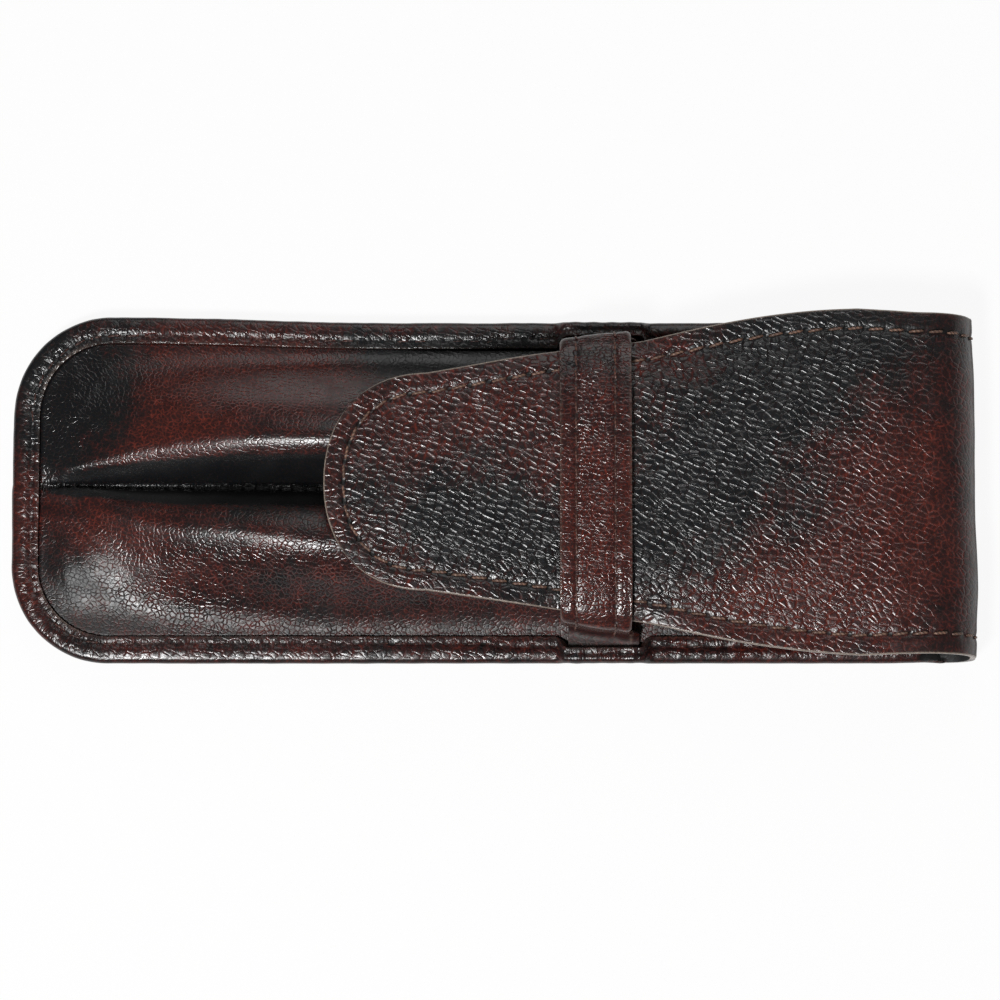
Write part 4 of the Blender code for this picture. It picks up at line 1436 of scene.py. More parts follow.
def edge_material(name, colour):
    """The polished cut edge of the leather, with a trace of its fibres."""
    material, tree, shader = new_material(name)
    place = add_node(tree, "ShaderNodeTexCoord").outputs["Object"]
    fibres = speckle(tree, place, size=0.0005, detail=4.0)
    shade = ramp(tree, fibres, *MIDDLE_TONES)
    dyed = blend_colours(tree, shade, shaded(colour, EDGE_DARKER), opaque(colour))
    rough = ramp(tree, fibres, *BROAD_TONES, *EDGE_ROUGHNESS)
    height = reckon(tree, "MULTIPLY", fibres, FIBRE_HEIGHT)
    finish_shader(tree, shader, dyed, rough, height)
    return material


def lining_material(name, leather):
    """Thin matt lining leather with a fine even grain, painted darker in the grain's valleys as shade.
    """
    material, tree, shader = new_material(name)
    place = add_node(tree, "ShaderNodeTexCoord").outputs["Object"]
    grain = use_group(
        tree,
        "Pebble grain",
        pebble_group,
        {"Place": place, "Cell": 0.0006, "Stretch": 1.1, "Turn": 1.0, "Seed": 4.0},
    )
    cloud = speckle(tree, place, size=0.009, detail=3.0)
    pale = shaded(leather.lining, LINING_PALER)
    colour = blend_colours(tree, ramp(tree, cloud, *MIDDLE_TONES), opaque(leather.lining), pale)
    # The grain's valleys are painted darker: painted shade
    valley_painted_shade = shaded(leather.lining, LINING_DARKER)
    colour = blend_colours(tree, ramp(tree, grain["Top"], low=0.9, high=0.3), colour, valley_painted_shade)
    rough = ramp(tree, cloud, *BROAD_TONES, *LINING_ROUGHNESS)
    height = reckon(tree, "MULTIPLY", grain["Top"], LINING_GRAIN_DEPTH)
    finish_shader(tree, shader, colour, rough, height)
    return material


def thread_material(name, colour):
    """Twisted sewing thread, with its plies painted darker in the grooves between them as shade,
    and a slightly waxed sheen.
    """
    material, tree, shader = new_material(name)
    place = attribute(tree, "hide", "Vector")
    inputs = {"Vector": place, "Scale": 900.0, "Distortion": 1.0}
    waves = add_node(tree, "ShaderNodeTexWave", inputs, bands_direction="DIAGONAL")
    plies = waves.outputs["Fac"]
    whole = add_node(tree, "ShaderNodeTexCoord").outputs["Object"]
    tint = speckle(tree, whole, size=0.003, detail=2.0)
    dark = shaded(colour, THREAD_DARKER)
    # The grooves between the plies are painted darker: painted shade
    plies_painted_shade = blend_colours(tree, ramp(tree, plies, low=0.0, high=0.7), dark, opaque(colour))
    tinted = blend_colours(tree, ramp(tree, tint, low=0.35, high=0.75), plies_painted_shade, dark)
    rough = ramp(tree, plies, 0.0, 1.0, *THREAD_ROUGHNESS)
    height = reckon(tree, "MULTIPLY", plies, PLY_HEIGHT)
    finish_shader(tree, shader, tinted, rough, height)
    return material


def shared_material(name, make, *values):
    """The material of this name, made the first time that it is asked for."""
    return bpy.data.materials.get(name) or make(name, *values)


def cover_leather(leather):
    """The leather of the back and the flap."""
    values = (leather, leather.cell, leather.depth, *COVER_PEBBLES)
    return shared_material("pebbled_cover", leather_material, *values)


def cut_edge(leather):
    """The cut edges of every leather but the flap's."""
    return shared_material("cut_edge", edge_material, leather.cut_edge)


def lining_leather(leather):
    """The leather of every lining."""
    return shared_material("fine_lining", lining_material, leather)


def note_leather(mould, seams, red, grain, wear_and_painted_highlight, drawn, holed, dull):
    """Stores what the leather's material reads: the seams, the tone, the strength of the grain, the
    wear and the painted highlights along cut edges, how much it puckers beside the seams, how much
    the holes show, and where it is dull."""
    along, away = along_seams(mould.points, seams)
    same = np.ones(len(along))
    mould.note("seam", np.column_stack((along, away, seams[0].pitch * same)))
    looks = {"red": red, "grain": np.maximum(grain, LEAST_GRAIN), "wear_and_painted_highlight": wear_and_painted_highlight}
    looks |= {"drawn": drawn, "holed": holed, "dull": dull}
    for name, values in looks.items():
        mould.note(name, values * same)


def above_cut(point):
    """Whether a point lies on the cut across the middle of the fold's wall."""
    return abs(point.z - WALL_CUT_Z) < CUT_SLACK and point.x > FOLD_X - CUT_REACH


def gathers(points):
    """The narrow radial folds of the margin where it is gathered round the closed corners."""
    past_x = CLOSED_X + CORNER_RADIUS - points[:, 0]
    past_y = np.abs(points[:, 1]) - (HALF_WIDTH - CORNER_RADIUS)
    turn = np.arctan2(past_y, past_x)
    inset = CORNER_RADIUS - np.hypot(past_x, past_y)
    run = turn * CORNER_RADIUS
    across = inset * GATHER_STRAIGHTNESS
    spots = np.column_stack((run * np.sign(points[:, 1]), across, np.zeros(len(points))))
    phase = (run + wave(spots, *GATHER_WANDER)) / GATHER_PITCH
    fold = bell(phase - np.floor(phase) - 0.5, GATHER_BREADTH)
    inside = smooth(*GATHER_ENDS, turn) * smooth(*GATHER_ENDS, QUARTER - turn)
    inside = inside * (past_x > -GATHER_PAST) * (past_y > -GATHER_PAST)
    return -GATHER_DEPTH * fold * inside * smooth(*GATHER_INSETS, inset)


def rim_inset(points):
    """How far inside the pouch's outline each point of the rim lies."""
    past_x = np.maximum(0.0, CLOSED_X + CORNER_RADIUS - points[:, 0])
    past_y = np.maximum(0.0, np.abs(points[:, 1]) - (HALF_WIDTH - CORNER_RADIUS))
    return CORNER_RADIUS - np.hypot(past_x, past_y)


def back_surface():
    """The back, its turned margins and the lower half of the fold, in one skin."""
    stations, _ = rim_stations()
    dying = 1.0 - np.clip((stations[:, 0] - MOUTH_X) / (CREASE_X - MOUTH_X), 0.0, 1.0) ** 2
    edge_inset = np.maximum(TURNED_EDGE_RADIUS * dying, HALF_WIDTH - FLAP_HALF_WIDTH)
    hem = HEM_INSET * np.array(HEM_SHARES)

    def hem_place(row, column):
        rim = edge_inset[row] + EDGE_LEAN * dying[row]
        inset = np.where(column == len(hem) - 1, rim, hem[column])
        return rim_points(stations[row], inset, 0.0)

    bm = bmesh.new()
    ring = add_grid(bm, len(stations) - 1, len(hem) - 1, hem_place)

    radius = TURNED_EDGE_RADIUS
    top = turned_top(stations[:, 0])
    lower = arc((radius, radius), radius, 3 * QUARTER, 2 * QUARTER, EDGE_STEPS)
    upper = arc((radius, -radius), radius, 2 * QUARTER, QUARTER, EDGE_STEPS)
    side = np.linspace(0.0, 1.0, EDGE_STEPS + 1)[1:-1]
    across = np.linspace(0.0, 1.0, num=13)[1:]
    same = np.ones(len(stations))
    insets = [same * inset for inset in lower[:, 0]] + [same * 0.0 for _ in side]
    heights = [same * z for z in lower[:, 1]] + [mix(radius, top - radius, s) for s in side]
    insets += [same * inset for inset in upper[:, 0]]
    heights += [top + z for z in upper[:, 1]]
    insets += [mix(radius, lip_inset(stations[:, 0]), share) for share in across]
    heights += [top for _ in across]
    insets, heights = np.array(insets).T, np.array(heights).T
    still_there = np.maximum(dying, THINNEST_MARGIN)[:, None]
    insets = edge_inset[:, None] + (insets - radius) * still_there
    leaning = np.clip(1 - heights / (top[:, None] - radius), 0.0, 1.0) * dying[:, None]
    insets = insets + EDGE_LEAN * leaning
    heights = heights * still_there
    run = np.cumsum(np.hypot(np.diff(insets, axis=1), np.diff(heights, axis=1)), axis=1)
    run = np.hstack((np.zeros((len(stations), 1)), run))

    def turned_place(row, column):
        return rim_points(stations[row], insets[row, column], heights[row, column])

    def turned_hide(row, column):
        return rim_points(stations[row], radius - run[row, column], 0.0)

    add_grid(bm, len(stations) - 1, insets.shape[1] - 1, turned_place, turned_hide)

    profile = fold_profile(0.0, False)
    run_up = lengths_along(profile)
    outer = HALF_WIDTH - np.append(hem[:-1], HALF_WIDTH - FLAP_HALF_WIDTH)[::-1]
    middle_steps = steps_for(2 * outer[-1])
    middle = np.linspace(-outer[-1], outer[-1], middle_steps + 1)
    ys = np.concatenate((-outer[:-1], middle, outer[:-1][::-1]))

    def fold_place(row, column):
        return np.column_stack((profile[row, 0], ys[column], profile[row, 1]))

    def fold_hide(row, column):
        return np.column_stack((CREASE_X + run_up[row], ys[column], np.zeros(len(row))))

    crease = add_grid(bm, len(profile) - 1, len(ys) - 1, fold_place, fold_hide)
    closing = [row[0] for row in ring]
    closing += crease[0][len(outer) : len(ys) - len(outer)][::-1]
    underside = bm.faces.new(closing)
    bmesh.ops.remove_doubles(bm, verts=bm.verts, dist=WELD)
    bmesh.ops.recalc_face_normals(bm, faces=bm.faces)
    if underside.normal.z > 0:
        bmesh.ops.reverse_faces(bm, faces=bm.faces)
    return Mould("back_leather", bm)


def back_heights(points, normals, seams, inset, on_top, sewing):
    """How far the back's leather stands out: along its rows, and on its turned margins."""
    along, away = along_seams(points, seams)
    heights = drawn_in(along, away, sewing.draw, sewing.pucker)
    waves = wave(points, *BACK_WAVES) + wave(points, *BACK_RIPPLES)
    roll = ridge(inset, *EDGE_ROLL) + ridge(inset, *ROW_ROLL)
    heights = heights * (ROWS_EVEN + wave(points, *ROWS_UNEVEN))
    heights = np.where(normals[:, 2] < FACING_DOWN, np.minimum(heights, 0.0), heights)
    join = smooth(-JOIN_EDGE, JOIN_EDGE, JOIN_Y - points[:, 1])
    join = join * bell(points[:, 1] - JOIN_Y, JOIN_REACH)
    join = join * (points[:, 0] < CLOSED_X + TURNED_WIDTH + JOIN_PAST_MARGIN) * JOIN_STEP
    return heights + on_top * (waves + roll + join + gathers(points))


def note_back(mould, seams, points, inset, on_top):
    """The back's looks, with the inside of the fold dull, nearly smooth and painted black as shade."""
    x, y = points[:, 0], points[:, 1]
    at_fold = smooth(*FLAP_TONES_X, x)
    red = mix(patches_at(points, FRONT_PATCHES), patches_at(points, FLAP_PATCHES), at_fold)
    red = COVER_RED + PATCH_SHARE * red
    grain = mix(1.0, terrace(inset, *MARGIN_GRAIN), on_top)
    grain = mix(grain, FOLD_GRAIN, smooth(CREASE_X, FOLD_X, x))
    lip_away = np.abs(lip_inset(x) - inset)
    rounding = smooth(*ROUNDING_X, CLOSED_X + CORNER_RADIUS - x)
    rounding = rounding * smooth(*ROUNDING_Y, np.abs(y) - HALF_WIDTH + CORNER_RADIUS)
    wear_and_painted_highlight = on_top * bell(lip_away, LIP_WEAR_REACH) * (LIP_WEAR + CORNER_WEAR * rounding)
    # Painted sheen: the lower half of the closed end's margin is made redder, standing in for its gloss
    end_margin = on_top * smooth(*END_MARGIN_X, x)
    red = red + END_MARGIN_PAINTED_SHEEN * end_margin * smooth(*END_MARGIN_Y, y)
    inside_fold = smooth(*INSIDE_FOLD_X, x) * (points[:, 2] > -WELD) * (inset > INSIDE_FOLD_INSET)
    inside_fold = inside_fold * (x < CREASE_X)
    past_lining = smooth(*PAST_LINING_Y, np.abs(y)) * (x >= CREASE_X)
    grain = grain * (1 - INSIDE_SMOOTHER * inside_fold)
    grain = grain * (1 - INSIDE_SMOOTHER * past_lining)
    drawn = mix(UNDERSIDE_DRAWN, 1.0, on_top) * (1 - inside_fold)
    drawn = drawn * (1 - past_lining)
    holed = mix(1.0, MARGIN_HOLED, on_top) * (1 - inside_fold)
    holed = holed * (1 - past_lining)
    dull = INSIDE_FOLD_DULL * inside_fold + past_lining
    # Painted shade: inside the fold and past the lining the tone is made black
    red = red - INSIDE_FOLD_PAINTED_SHADE * inside_fold - PAST_LINING_PAINTED_SHADE * past_lining
    note_leather(mould, seams, red, grain, wear_and_painted_highlight, drawn, holed, dull)


def make_back(context):
    """The back with its turned and gathered margins, as far as the middle of the fold."""
    leather, sewing = context.scene.pouch_leather, context.scene.pouch_sewing
    mould = back_surface()
    seams = [*margin_seams(sewing), flap_seam(sewing)]
    points = mould.points
    inset = rim_inset(points)
    on_top = smooth(FRONT_TOP, TURNED_TOP - TURNED_EDGE_RADIUS / 2, points[:, 2])
    on_top = on_top * smooth(CREASE_X, MARGIN_WHOLE_X, points[:, 0])
    mould.swell(back_heights(points, mould.normals, seams, inset, on_top, sewing))
    note_back(mould, seams, points, inset, on_top)
    mould.move(tapered(mould.points))
    materials = cover_leather(leather), cut_edge(leather)
    back = mould.piece(materials, COVER_LEATHER, round_edge=0.00025, uncut=above_cut)
    lift_to(back, BACK_LIFT)
    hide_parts("back_cover")
    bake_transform(back)


def front_surface():
    """The front over both pockets, from edge to edge across the valley."""
    margin, slope = np.linspace(0, 1, num=5)[:-1], np.linspace(1, 2, num=53)[:-1]
    across = np.concatenate((margin, slope, np.linspace(2, 3, num=27)))
    side = np.concatenate((np.full(len(across), -1), np.full(len(across), 1)))
    across = np.concatenate((across, across[::-1]))

    def place(row, column):
        return front_points((row / FRONT_ROWS) ** FRONT_ROW_POWER, side[column], across[column])

    return grid_mould("front_leather", (0, 0, 1), FRONT_ROWS, len(across) - 1, place)


def fan_creases(x, y):
    """The creases that fan out from the valley's closed end."""
    from_apex = np.hypot(x - APEX_X, y - VALLEY_SKEW)
    fan = np.arctan2(y - VALLEY_SKEW, x - APEX_X)
    rays = np.column_stack((fan * FAN_ACROSS, from_apex * FAN_ALONG, np.zeros(len(x))))
    drawn = smooth(*FAN_STARTS, from_apex) * smooth(*FAN_ENDS, from_apex)
    drawn = drawn * smooth(*FAN_TURNS, -fan) + drawn * smooth(*FAN_TURNS, fan) * FAN_UPPER_SHARE
    return wave(rays, *FAN_CREASES) * drawn


def pocket_lips(x, y, open_share):
    """The rolls of leather along both sides of the valley."""
    off = np.abs(y - LIP_MIDDLE_Y)
    crest_off = mix(CREST_OFFSET_AT_APEX, CREST_OFFSET, open_share)
    lip = bell(off - crest_off * LIP_PLACE_SHARE, LIP_BREADTH + LIP_BROADENS * open_share)
    lip = lip * smooth(0.0, LIP_START, x - APEX_X) * mix(*LIP_HEIGHTS, open_share)
    lip_x, _, lip_height, lip_breadth = np.array(LOWER_CREST).T
    low_lip = bell(off - lower_crest(x), np.interp(x, lip_x, lip_breadth))
    low_lip = low_lip * np.interp(x, lip_x, lip_height)
    return np.where(y < LIP_MIDDLE_Y, low_lip, lip)


def front_heights(points, seams, open_share):
    """How far the front's leather stands out: its waves, creases and lips, its fuller pocket ends,
    and the row in the valley."""
    x, y = points[:, 0], points[:, 1]
    along, away = along_seams(points, seams)
    free = smooth(POCKET_HALF_WIDTH, POCKET_HALF_WIDTH - FRONT_HELD, np.abs(y))
    free = free * smooth(0.0, FRONT_HELD, x - closed_end_x(TURNED_WIDTH, y))
    fuller = spot(x, np.abs(y), *POCKET_END)
    fuller = fuller * np.where(y < 0, *FULLER_ENDS)
    waves = wave(points, *FRONT_WAVES)
    waves += wave(points, *FRONT_RIPPLES)
    pinched = drawn_in(along, away, VALLEY_DRAW, VALLEY_PUCKER) * smooth(*VALLEY_ROW_X, x)
    return free * (waves + fan_creases(x, y) + pocket_lips(x, y, open_share) + fuller) + pinched


def note_front(mould, seams, points, open_share):
    """The front's looks, with painted shade making the valley black, and its walls nearly smooth."""
    x, y = points[:, 0], points[:, 1]
    _, away = along_seams(points, seams)
    valley_y = VALLEY_SKEW * (MOUTH_X - x) / FRONT_LENGTH
    groove = smooth(*GROOVE_EDGE, np.abs(y - valley_y) / mix(*GROOVE_HALF_WIDTHS, open_share))
    groove = groove * smooth(0.0, GROOVE_START, x - APEX_X)
    crest = bell(np.abs(y) - CREST_OFFSET, CREST_BREADTH) * smooth(*CREST_X, x)
    upper = smooth(*UPPER_Y, y)
    at_end = bell(x - UPPER_END_X, UPPER_END_REACH) * upper
    wall_share = smooth(CREST_OFFSET, VALLEY_HALF_WIDTH, np.abs(y))
    corner = spot(x, y, *LOWER_CORNER)
    below_tongue = smooth(*BELOW_TONGUE_Y, -y) * smooth(*BELOW_TONGUE_X, x)
    beside_row = bell(away, BESIDE_ROW)
    # The valley's tone is painted black as shade
    red = FRONT_RED + PATCH_SHARE * patches_at(points, FRONT_PATCHES) - GROOVE_PAINTED_SHADE * groove
    grain = FRONT_GRAIN_STRENGTH - CREST_SMOOTHER * crest - UPPER_SMOOTHER * upper
    grain = grain - terrace(y, *EDGE_SMOOTHER)
    grain = grain - GROOVE_SMOOTHER * groove + END_GRAINIER * at_end
    grain = grain * (1 - WALL_SMOOTHER * wall_share)
    grain = grain * (1 - CORNER_SMOOTHER * corner)
    grain = grain + BELOW_TONGUE_GRAINIER * below_tongue
    grain = grain + GROOVE_SMOOTHER * groove * beside_row
    dull = GROOVE_DULL * groove * (1 - beside_row) + CORNER_DULL * corner
    dull = dull - END_GLOSSIER * at_end - BELOW_TONGUE_GLOSSIER * below_tongue
    dull = dull + terrace(-y, *LOWER_EDGE_DULL)
    drawn = FRONT_DRAWN + beside_row
    note_leather(mould, seams, red, grain, np.zeros(len(points)), drawn, FRONT_HOLED, dull)


def make_front(context):
    """The front over both pockets, with its sewn valley, and the two pocket linings."""
    leather, sewing = context.scene.pouch_leather, context.scene.pouch_sewing
    mould = front_surface()
    points = mould.points
    seams = [valley_seam(sewing)]
    open_share = rise((points[:, 0] - APEX_X) / VALLEY_OPENING_LENGTH)
    mould.swell(front_heights(points, seams, open_share))
    stepped = smooth(*LIP_STEP_INSETS, rim_inset(points) - TURNED_WIDTH) * LIP_STEP
    stepped = stepped * smooth(*LIP_STEP_Y, np.abs(points[:, 1]))
    mould.move(mould.points + np.outer(stepped, (0, 0, 1)))
    note_front(mould, seams, points, open_share)
    mould.move(tapered(mould.points))
    values = (leather, leather.front_cell, leather.depth * FRONT_DEPTH_SHARE, *FRONT_PEBBLES)
    materials = shared_material("pebbled_front", leather_material, *values), cut_edge(leather)
    front = mould.piece(materials, FRONT_LEATHER, round_edge=0.0002, even=False)
    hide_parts("front_panel")
    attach(front, "root")
    for word, side_sign in (("left", -1), ("right", 1)):
        make_pocket_lining(word, side_sign, leather)


def make_pocket_lining(word, side, leather):
    """The lining of one pocket, from where it is deep enough for a pen to near the mouth."""
    start = LINING_START / FRONT_LENGTH
    end = 1 - LINING_SETBACK / FRONT_LENGTH

    def place(row, column):
        along = mix(start, end, row / LINING_ROWS)
        crest_z = front_points(along, side, np.full(len(row), 2.0))[:, 2]
        foot_share = np.minimum(LINING_FOOT_CLEARANCE / (crest_z - FRONT_TOP), 1.0)
        foot = 1 + np.arcsin(foot_share ** (1 / SLOPE_POWER)) / QUARTER
        return front_points(along, side, mix(foot, LINING_WALL_END, column / LINING_COLUMNS))

    name = f"pocket_lining_{word}_skin"
    mould = grid_mould(name, (0, 0, 1), LINING_ROWS, LINING_COLUMNS, place)
    mould.swell(np.full(len(mould.points), -FRONT_LEATHER - LAYER_GAP))
    mould.move(tapered(mould.points))
    lining = mould.piece((lining_leather(leather),), POCKET_LINING, THIN_EDGE_ROUND)
    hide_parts(f"pocket_lining_{word}")
    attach(lining, "root")


def flap_table(inset, depth, step):
    """The flap as rows from the cut in the fold's wall to the nose and columns from +Y to -Y: its
    points, and their places on the flat hide."""
    profile = fold_profile(depth, True)
    outline = flap_outline(inset)
    past = (outline[:, 0] < TIP_X + NOSE_LENGTH) & (outline[:, 1] < NOSE_CORNER_Y)
    corner = int(np.argmax(past))
    side = outline[: corner + 1]
    nose = outline[corner : len(outline) - corner]
    half = side[0, 1]
    columns = steps_for(2 * half, step)
    first = FLAP_RIM_STEP / (2 * half)
    across = np.concatenate(([0.0], np.linspace(first, 1 - first, columns - 1), [1.0]))
    rows = steps_for(lengths_along(side)[-1], step)
    along = np.linspace(0.0, 1.0, rows + 1)
    right = place_along(side, along * lengths_along(side)[-1])[:, None]
    left = right * (1, -1)
    near = np.column_stack((np.full(columns + 1, side[0, 0]), half * (1 - 2 * across)))[None]
    far = place_along(nose, across * lengths_along(nose)[-1])[None]
    u, v = along[:, None, None], across[None, :, None]
    corners = (1 - u) * ((1 - v) * right[0] + v * left[0]) + u * ((1 - v) * right[-1] + v * left[-1])
    flat = (1 - u) * near + u * far + (1 - v) * right + v * left - corners
    flat_z = FLAP_TOP - depth - droop(flat[..., 0], flat[..., 1])
    fold_y = np.broadcast_to(half * (1 - 2 * across), (len(profile) - 1, columns + 1))
    fold_x = np.broadcast_to(profile[:-1, :1], fold_y.shape)
    fold_z = np.broadcast_to(profile[:-1, 1:], fold_y.shape)
    fold_run = np.broadcast_to(lengths_along(profile)[:-1, None], fold_y.shape)
    flat_run = lengths_along(profile)[-1] + FLAP_START_X - flat[..., 0]
    points = np.vstack((np.dstack((fold_x, fold_y, fold_z)), np.dstack((flat, flat_z))))
    run = np.vstack((fold_run, flat_run)) + CUT_RUN
    return points, np.dstack((run, points[..., 1], np.zeros(run.shape)))


def flap_mould(name, inset, depth, step):
    """The flap's surface."""
    points, hide = flap_table(inset, depth, step)
    rows, columns = points.shape[0] - 1, points.shape[1] - 1
    tables = (lambda r, c: points[r, c], lambda r, c: hide[r, c])
    return grid_mould(name, (1, 0, 0), rows, columns, *tables)


def outline_away(points):
    """How far each point of the flap lies from its outline."""
    tree = tree_of([(x, y, 0.0) for x, y in flap_outline(0.0)])
    away = np.array([tree.find((x, y, 0.0))[2] for x, y, _ in points])
    return np.where(points[:, 0] > FLAP_START_X, FLAP_HALF_WIDTH - np.abs(points[:, 1]), away)


def flap_heights(mould, from_edge):
    """How far the flap's leather stands out, apart from its row: its edge, its waves, and the fine
    folds over the upper crease."""
    points = mould.points
    at_cut = smooth(0.0, CUT_EVENED, mould.read("hide")[:, 0] - CUT_RUN)
    roll = ridge(from_edge, *FLAP_ROLL)
    full = terrace(from_edge, *FLAP_FULLNESS)
    waves = wave(points, *FLAP_WAVES)
    waves += wave(points, *FLAP_RIPPLES)
    folds = wave(points, *CREASE_FOLDS)
    folds = folds * bell(points[:, 0] - FLAP_START_X + CREASE_FOLDS_PAST, CREASE_FOLDS_REACH)
    inner = smooth(0.0, FLAP_HELD, from_edge)
    sagging = ridge(points[:, 0], *FOLD_SAG) * (points[:, 2] > FLAP_TOP - FOLD_SAG_DEPTH)
    return at_cut * (roll + full + inner * (waves + folds) - sagging)


def make_flap(context):
    """The flap from the middle of the fold to the tongue's nose, in one skin, with its lining."""
    leather, sewing = context.scene.pouch_leather, context.scene.pouch_sewing
    mould = flap_mould("flap_leather", 0.0, 0.0, STEP)
    points = mould.points
    x, y = points[:, 0], points[:, 1]
    seams = [flap_seam(sewing)]
    along, away = along_seams(points, seams)
    from_edge = outline_away(points)
    heights = flap_heights(mould, from_edge)
    mould.swell(heights + drawn_in(along, away, sewing.draw, sewing.pucker * FLAP_PUCKER_SHARE))
    red = COVER_RED + PATCH_SHARE * patches_at(points, FLAP_PATCHES)
    pressed = ridge(away, *FLAP_ROW_PRESSED) + FLAP_BORDER_PRESSED * (from_edge < sewing.flap_inset)
    grain = 1.0 - pressed - terrace(x, *FLAP_START_SMOOTHER)
    grain = grain + terrace(y, *FLAP_MIDDLE_GRAINIER) * smooth(*FLAP_MIDDLE_X, x)
    # The pale band along the flap's edge is a painted highlight
    wear_and_painted_highlight = ridge(from_edge, *FLAP_EDGE_PAINTED_HIGHLIGHT)
    dull = terrace(x, *FOLD_DULL)
    note_leather(mould, seams, red, grain, wear_and_painted_highlight, FLAP_DRAWN, 1.0, dull)
    mould.move(fuller_side(mould.points))
    # The flap's edge and the rounding on its top take the pale edge colour, a painted highlight
    pale = shared_material("flap_edge", edge_material, leather.flap_edge)
    materials = cover_leather(leather), pale
    flap = mould.piece(
        materials, COVER_LEATHER, round_edge=0.00022, uncut=above_cut, painted_highlight_round=True
    )
    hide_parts("fold_cover", "flap_cover", "tongue_cover")
    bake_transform(flap)
    depth = COVER_LEATHER + LAYER_GAP
    lining = flap_mould("flap_lining_skin", FLAP_LINING_INSET, depth, FLAP_LINING_STEP)
    lining.move(fuller_side(lining.points))
    lining = lining.piece((lining_leather(leather),), FLAP_LINING, LINING_EDGE_ROUND, above_cut)
    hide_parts("fold_lining", "flap_lining", "tongue_lining")
    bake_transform(lining)
    make_fold_lining(leather)


def make_fold_lining(leather):
    """The lining inside the lower half of the fold."""
    profile = fold_profile(COVER_LEATHER + LAYER_GAP, False)
    half = FLAP_HALF_WIDTH - FLAP_LINING_INSET
    columns = steps_for(2 * half, FLAP_LINING_STEP)

    def place(row, column):
        y = mix(-half, half, column / columns)
        return np.column_stack((profile[row, 0], y, profile[row, 1]))

    mould = grid_mould("fold_lining_skin", (0, 0, -1), len(profile) - 1, columns, place)
    lining = mould.piece((lining_leather(leather),), FLAP_LINING, LINING_EDGE_ROUND, above_cut)
    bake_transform(lining)


def keeper_mould(name, skirted, step):
    """The keeper's outer surface, or as much of it as is lined."""
    width = KEEPER_RIGHT - KEEPER_LEFT
    columns = steps_for(width, step)
    xs = np.linspace(KEEPER_LEFT, KEEPER_RIGHT, columns + 1)
    lines = []
    for x in xs:
        arch, bend, foot = keeper_half(x)
        skirt = [bend[-1] - (0.0, KEEPER_LINING_SKIRT)]
        lines.append(both_sides(np.vstack((arch, bend, skirt if skirted else foot))))
    rows = steps_for(lengths_along(lines[0])[-1], step)
    shares = [np.linspace(0.0, lengths_along(line)[-1], rows + 1) for line in lines]
    table = np.array([place_along(line, at) for line, at in zip(lines, shares)])

    def place(row, column):
        spots = table[column, row].copy()
        past = 1 - np.minimum(column, columns - column) * step / KEEPER_CORNER
        past = np.clip(past, 0.0, KEEPER_CORNER_FACE)
        cut = KEEPER_CORNER * (1 - np.sqrt(1 - past**2))
        wall = keeper_wall(xs[column])
        cut = cut * smooth(KEEPER_BEND, KEEPER_LAST_RADIUS, wall - np.abs(spots[:, 0]))
        cut = cut * smooth(TAIL_TOP + TAIL_CLEAR, TAIL_TOP + KEEPER_FOOT_RADIUS, spots[:, 1])
        spots[:, 0] -= np.sign(spots[:, 0]) * cut
        shift = TAIL_SHIFT * smooth(*TAIL_SHIFT_Z, spots[:, 1])
        return np.column_stack((xs[column] + shift, spots))

    def noted(row, column):
        return np.column_stack((xs[column], shares[0][row], np.zeros(len(row))))

    return grid_mould(name, (0, -1, 1), rows, columns, place, noted)


def note_keeper(mould, seams, points, from_edge, past_bend):
    """The keeper's looks, with its tails dull, nearly smooth and painted darker as shade."""
    _, away = along_seams(points, seams)
    tails = smooth(*TAILS_Z, points[:, 2])
    bending = smooth(0.0, KEEPER_BENDING, past_bend)
    red = KEEPER_RED + PATCH_SHARE * patches_at(points, KEEPER_PATCHES)
    grain = KEEPER_GRAIN_STRENGTH - ridge(away, *KEEPER_ROW_PRESSED)
    grain = grain - KEEPER_BORDER_PRESSED * (from_edge < KEEPER_BORDER)
    grain = grain * (1 - TAILS_SMOOTHER * np.maximum(tails, bending))
    # Paler along the outer turn of each bend, above the tails
    bent = bell(past_bend - KEEPER_BEND, KEEPER_BEND_PALING_REACH)
    bent = bent * (points[:, 2] > TAIL_TOP + KEEPER_PALING_ABOVE_TAIL)
    # The pale band along the keeper's cut edges is a painted highlight
    wear_and_painted_highlight = KEEPER_BEND_PALING * bent + ridge(from_edge, *KEEPER_EDGE_PAINTED_HIGHLIGHT)
    dull = TAILS_DULL * tails - KEEPER_GLOSSIER
    # The tails are painted darker as shade; the bends are redder
    red = red - TAILS_PAINTED_SHADE * tails + BENDING_RED * bending
    note_leather(mould, seams, red, grain, wear_and_painted_highlight, KEEPER_DRAWN, KEEPER_HOLED, dull)


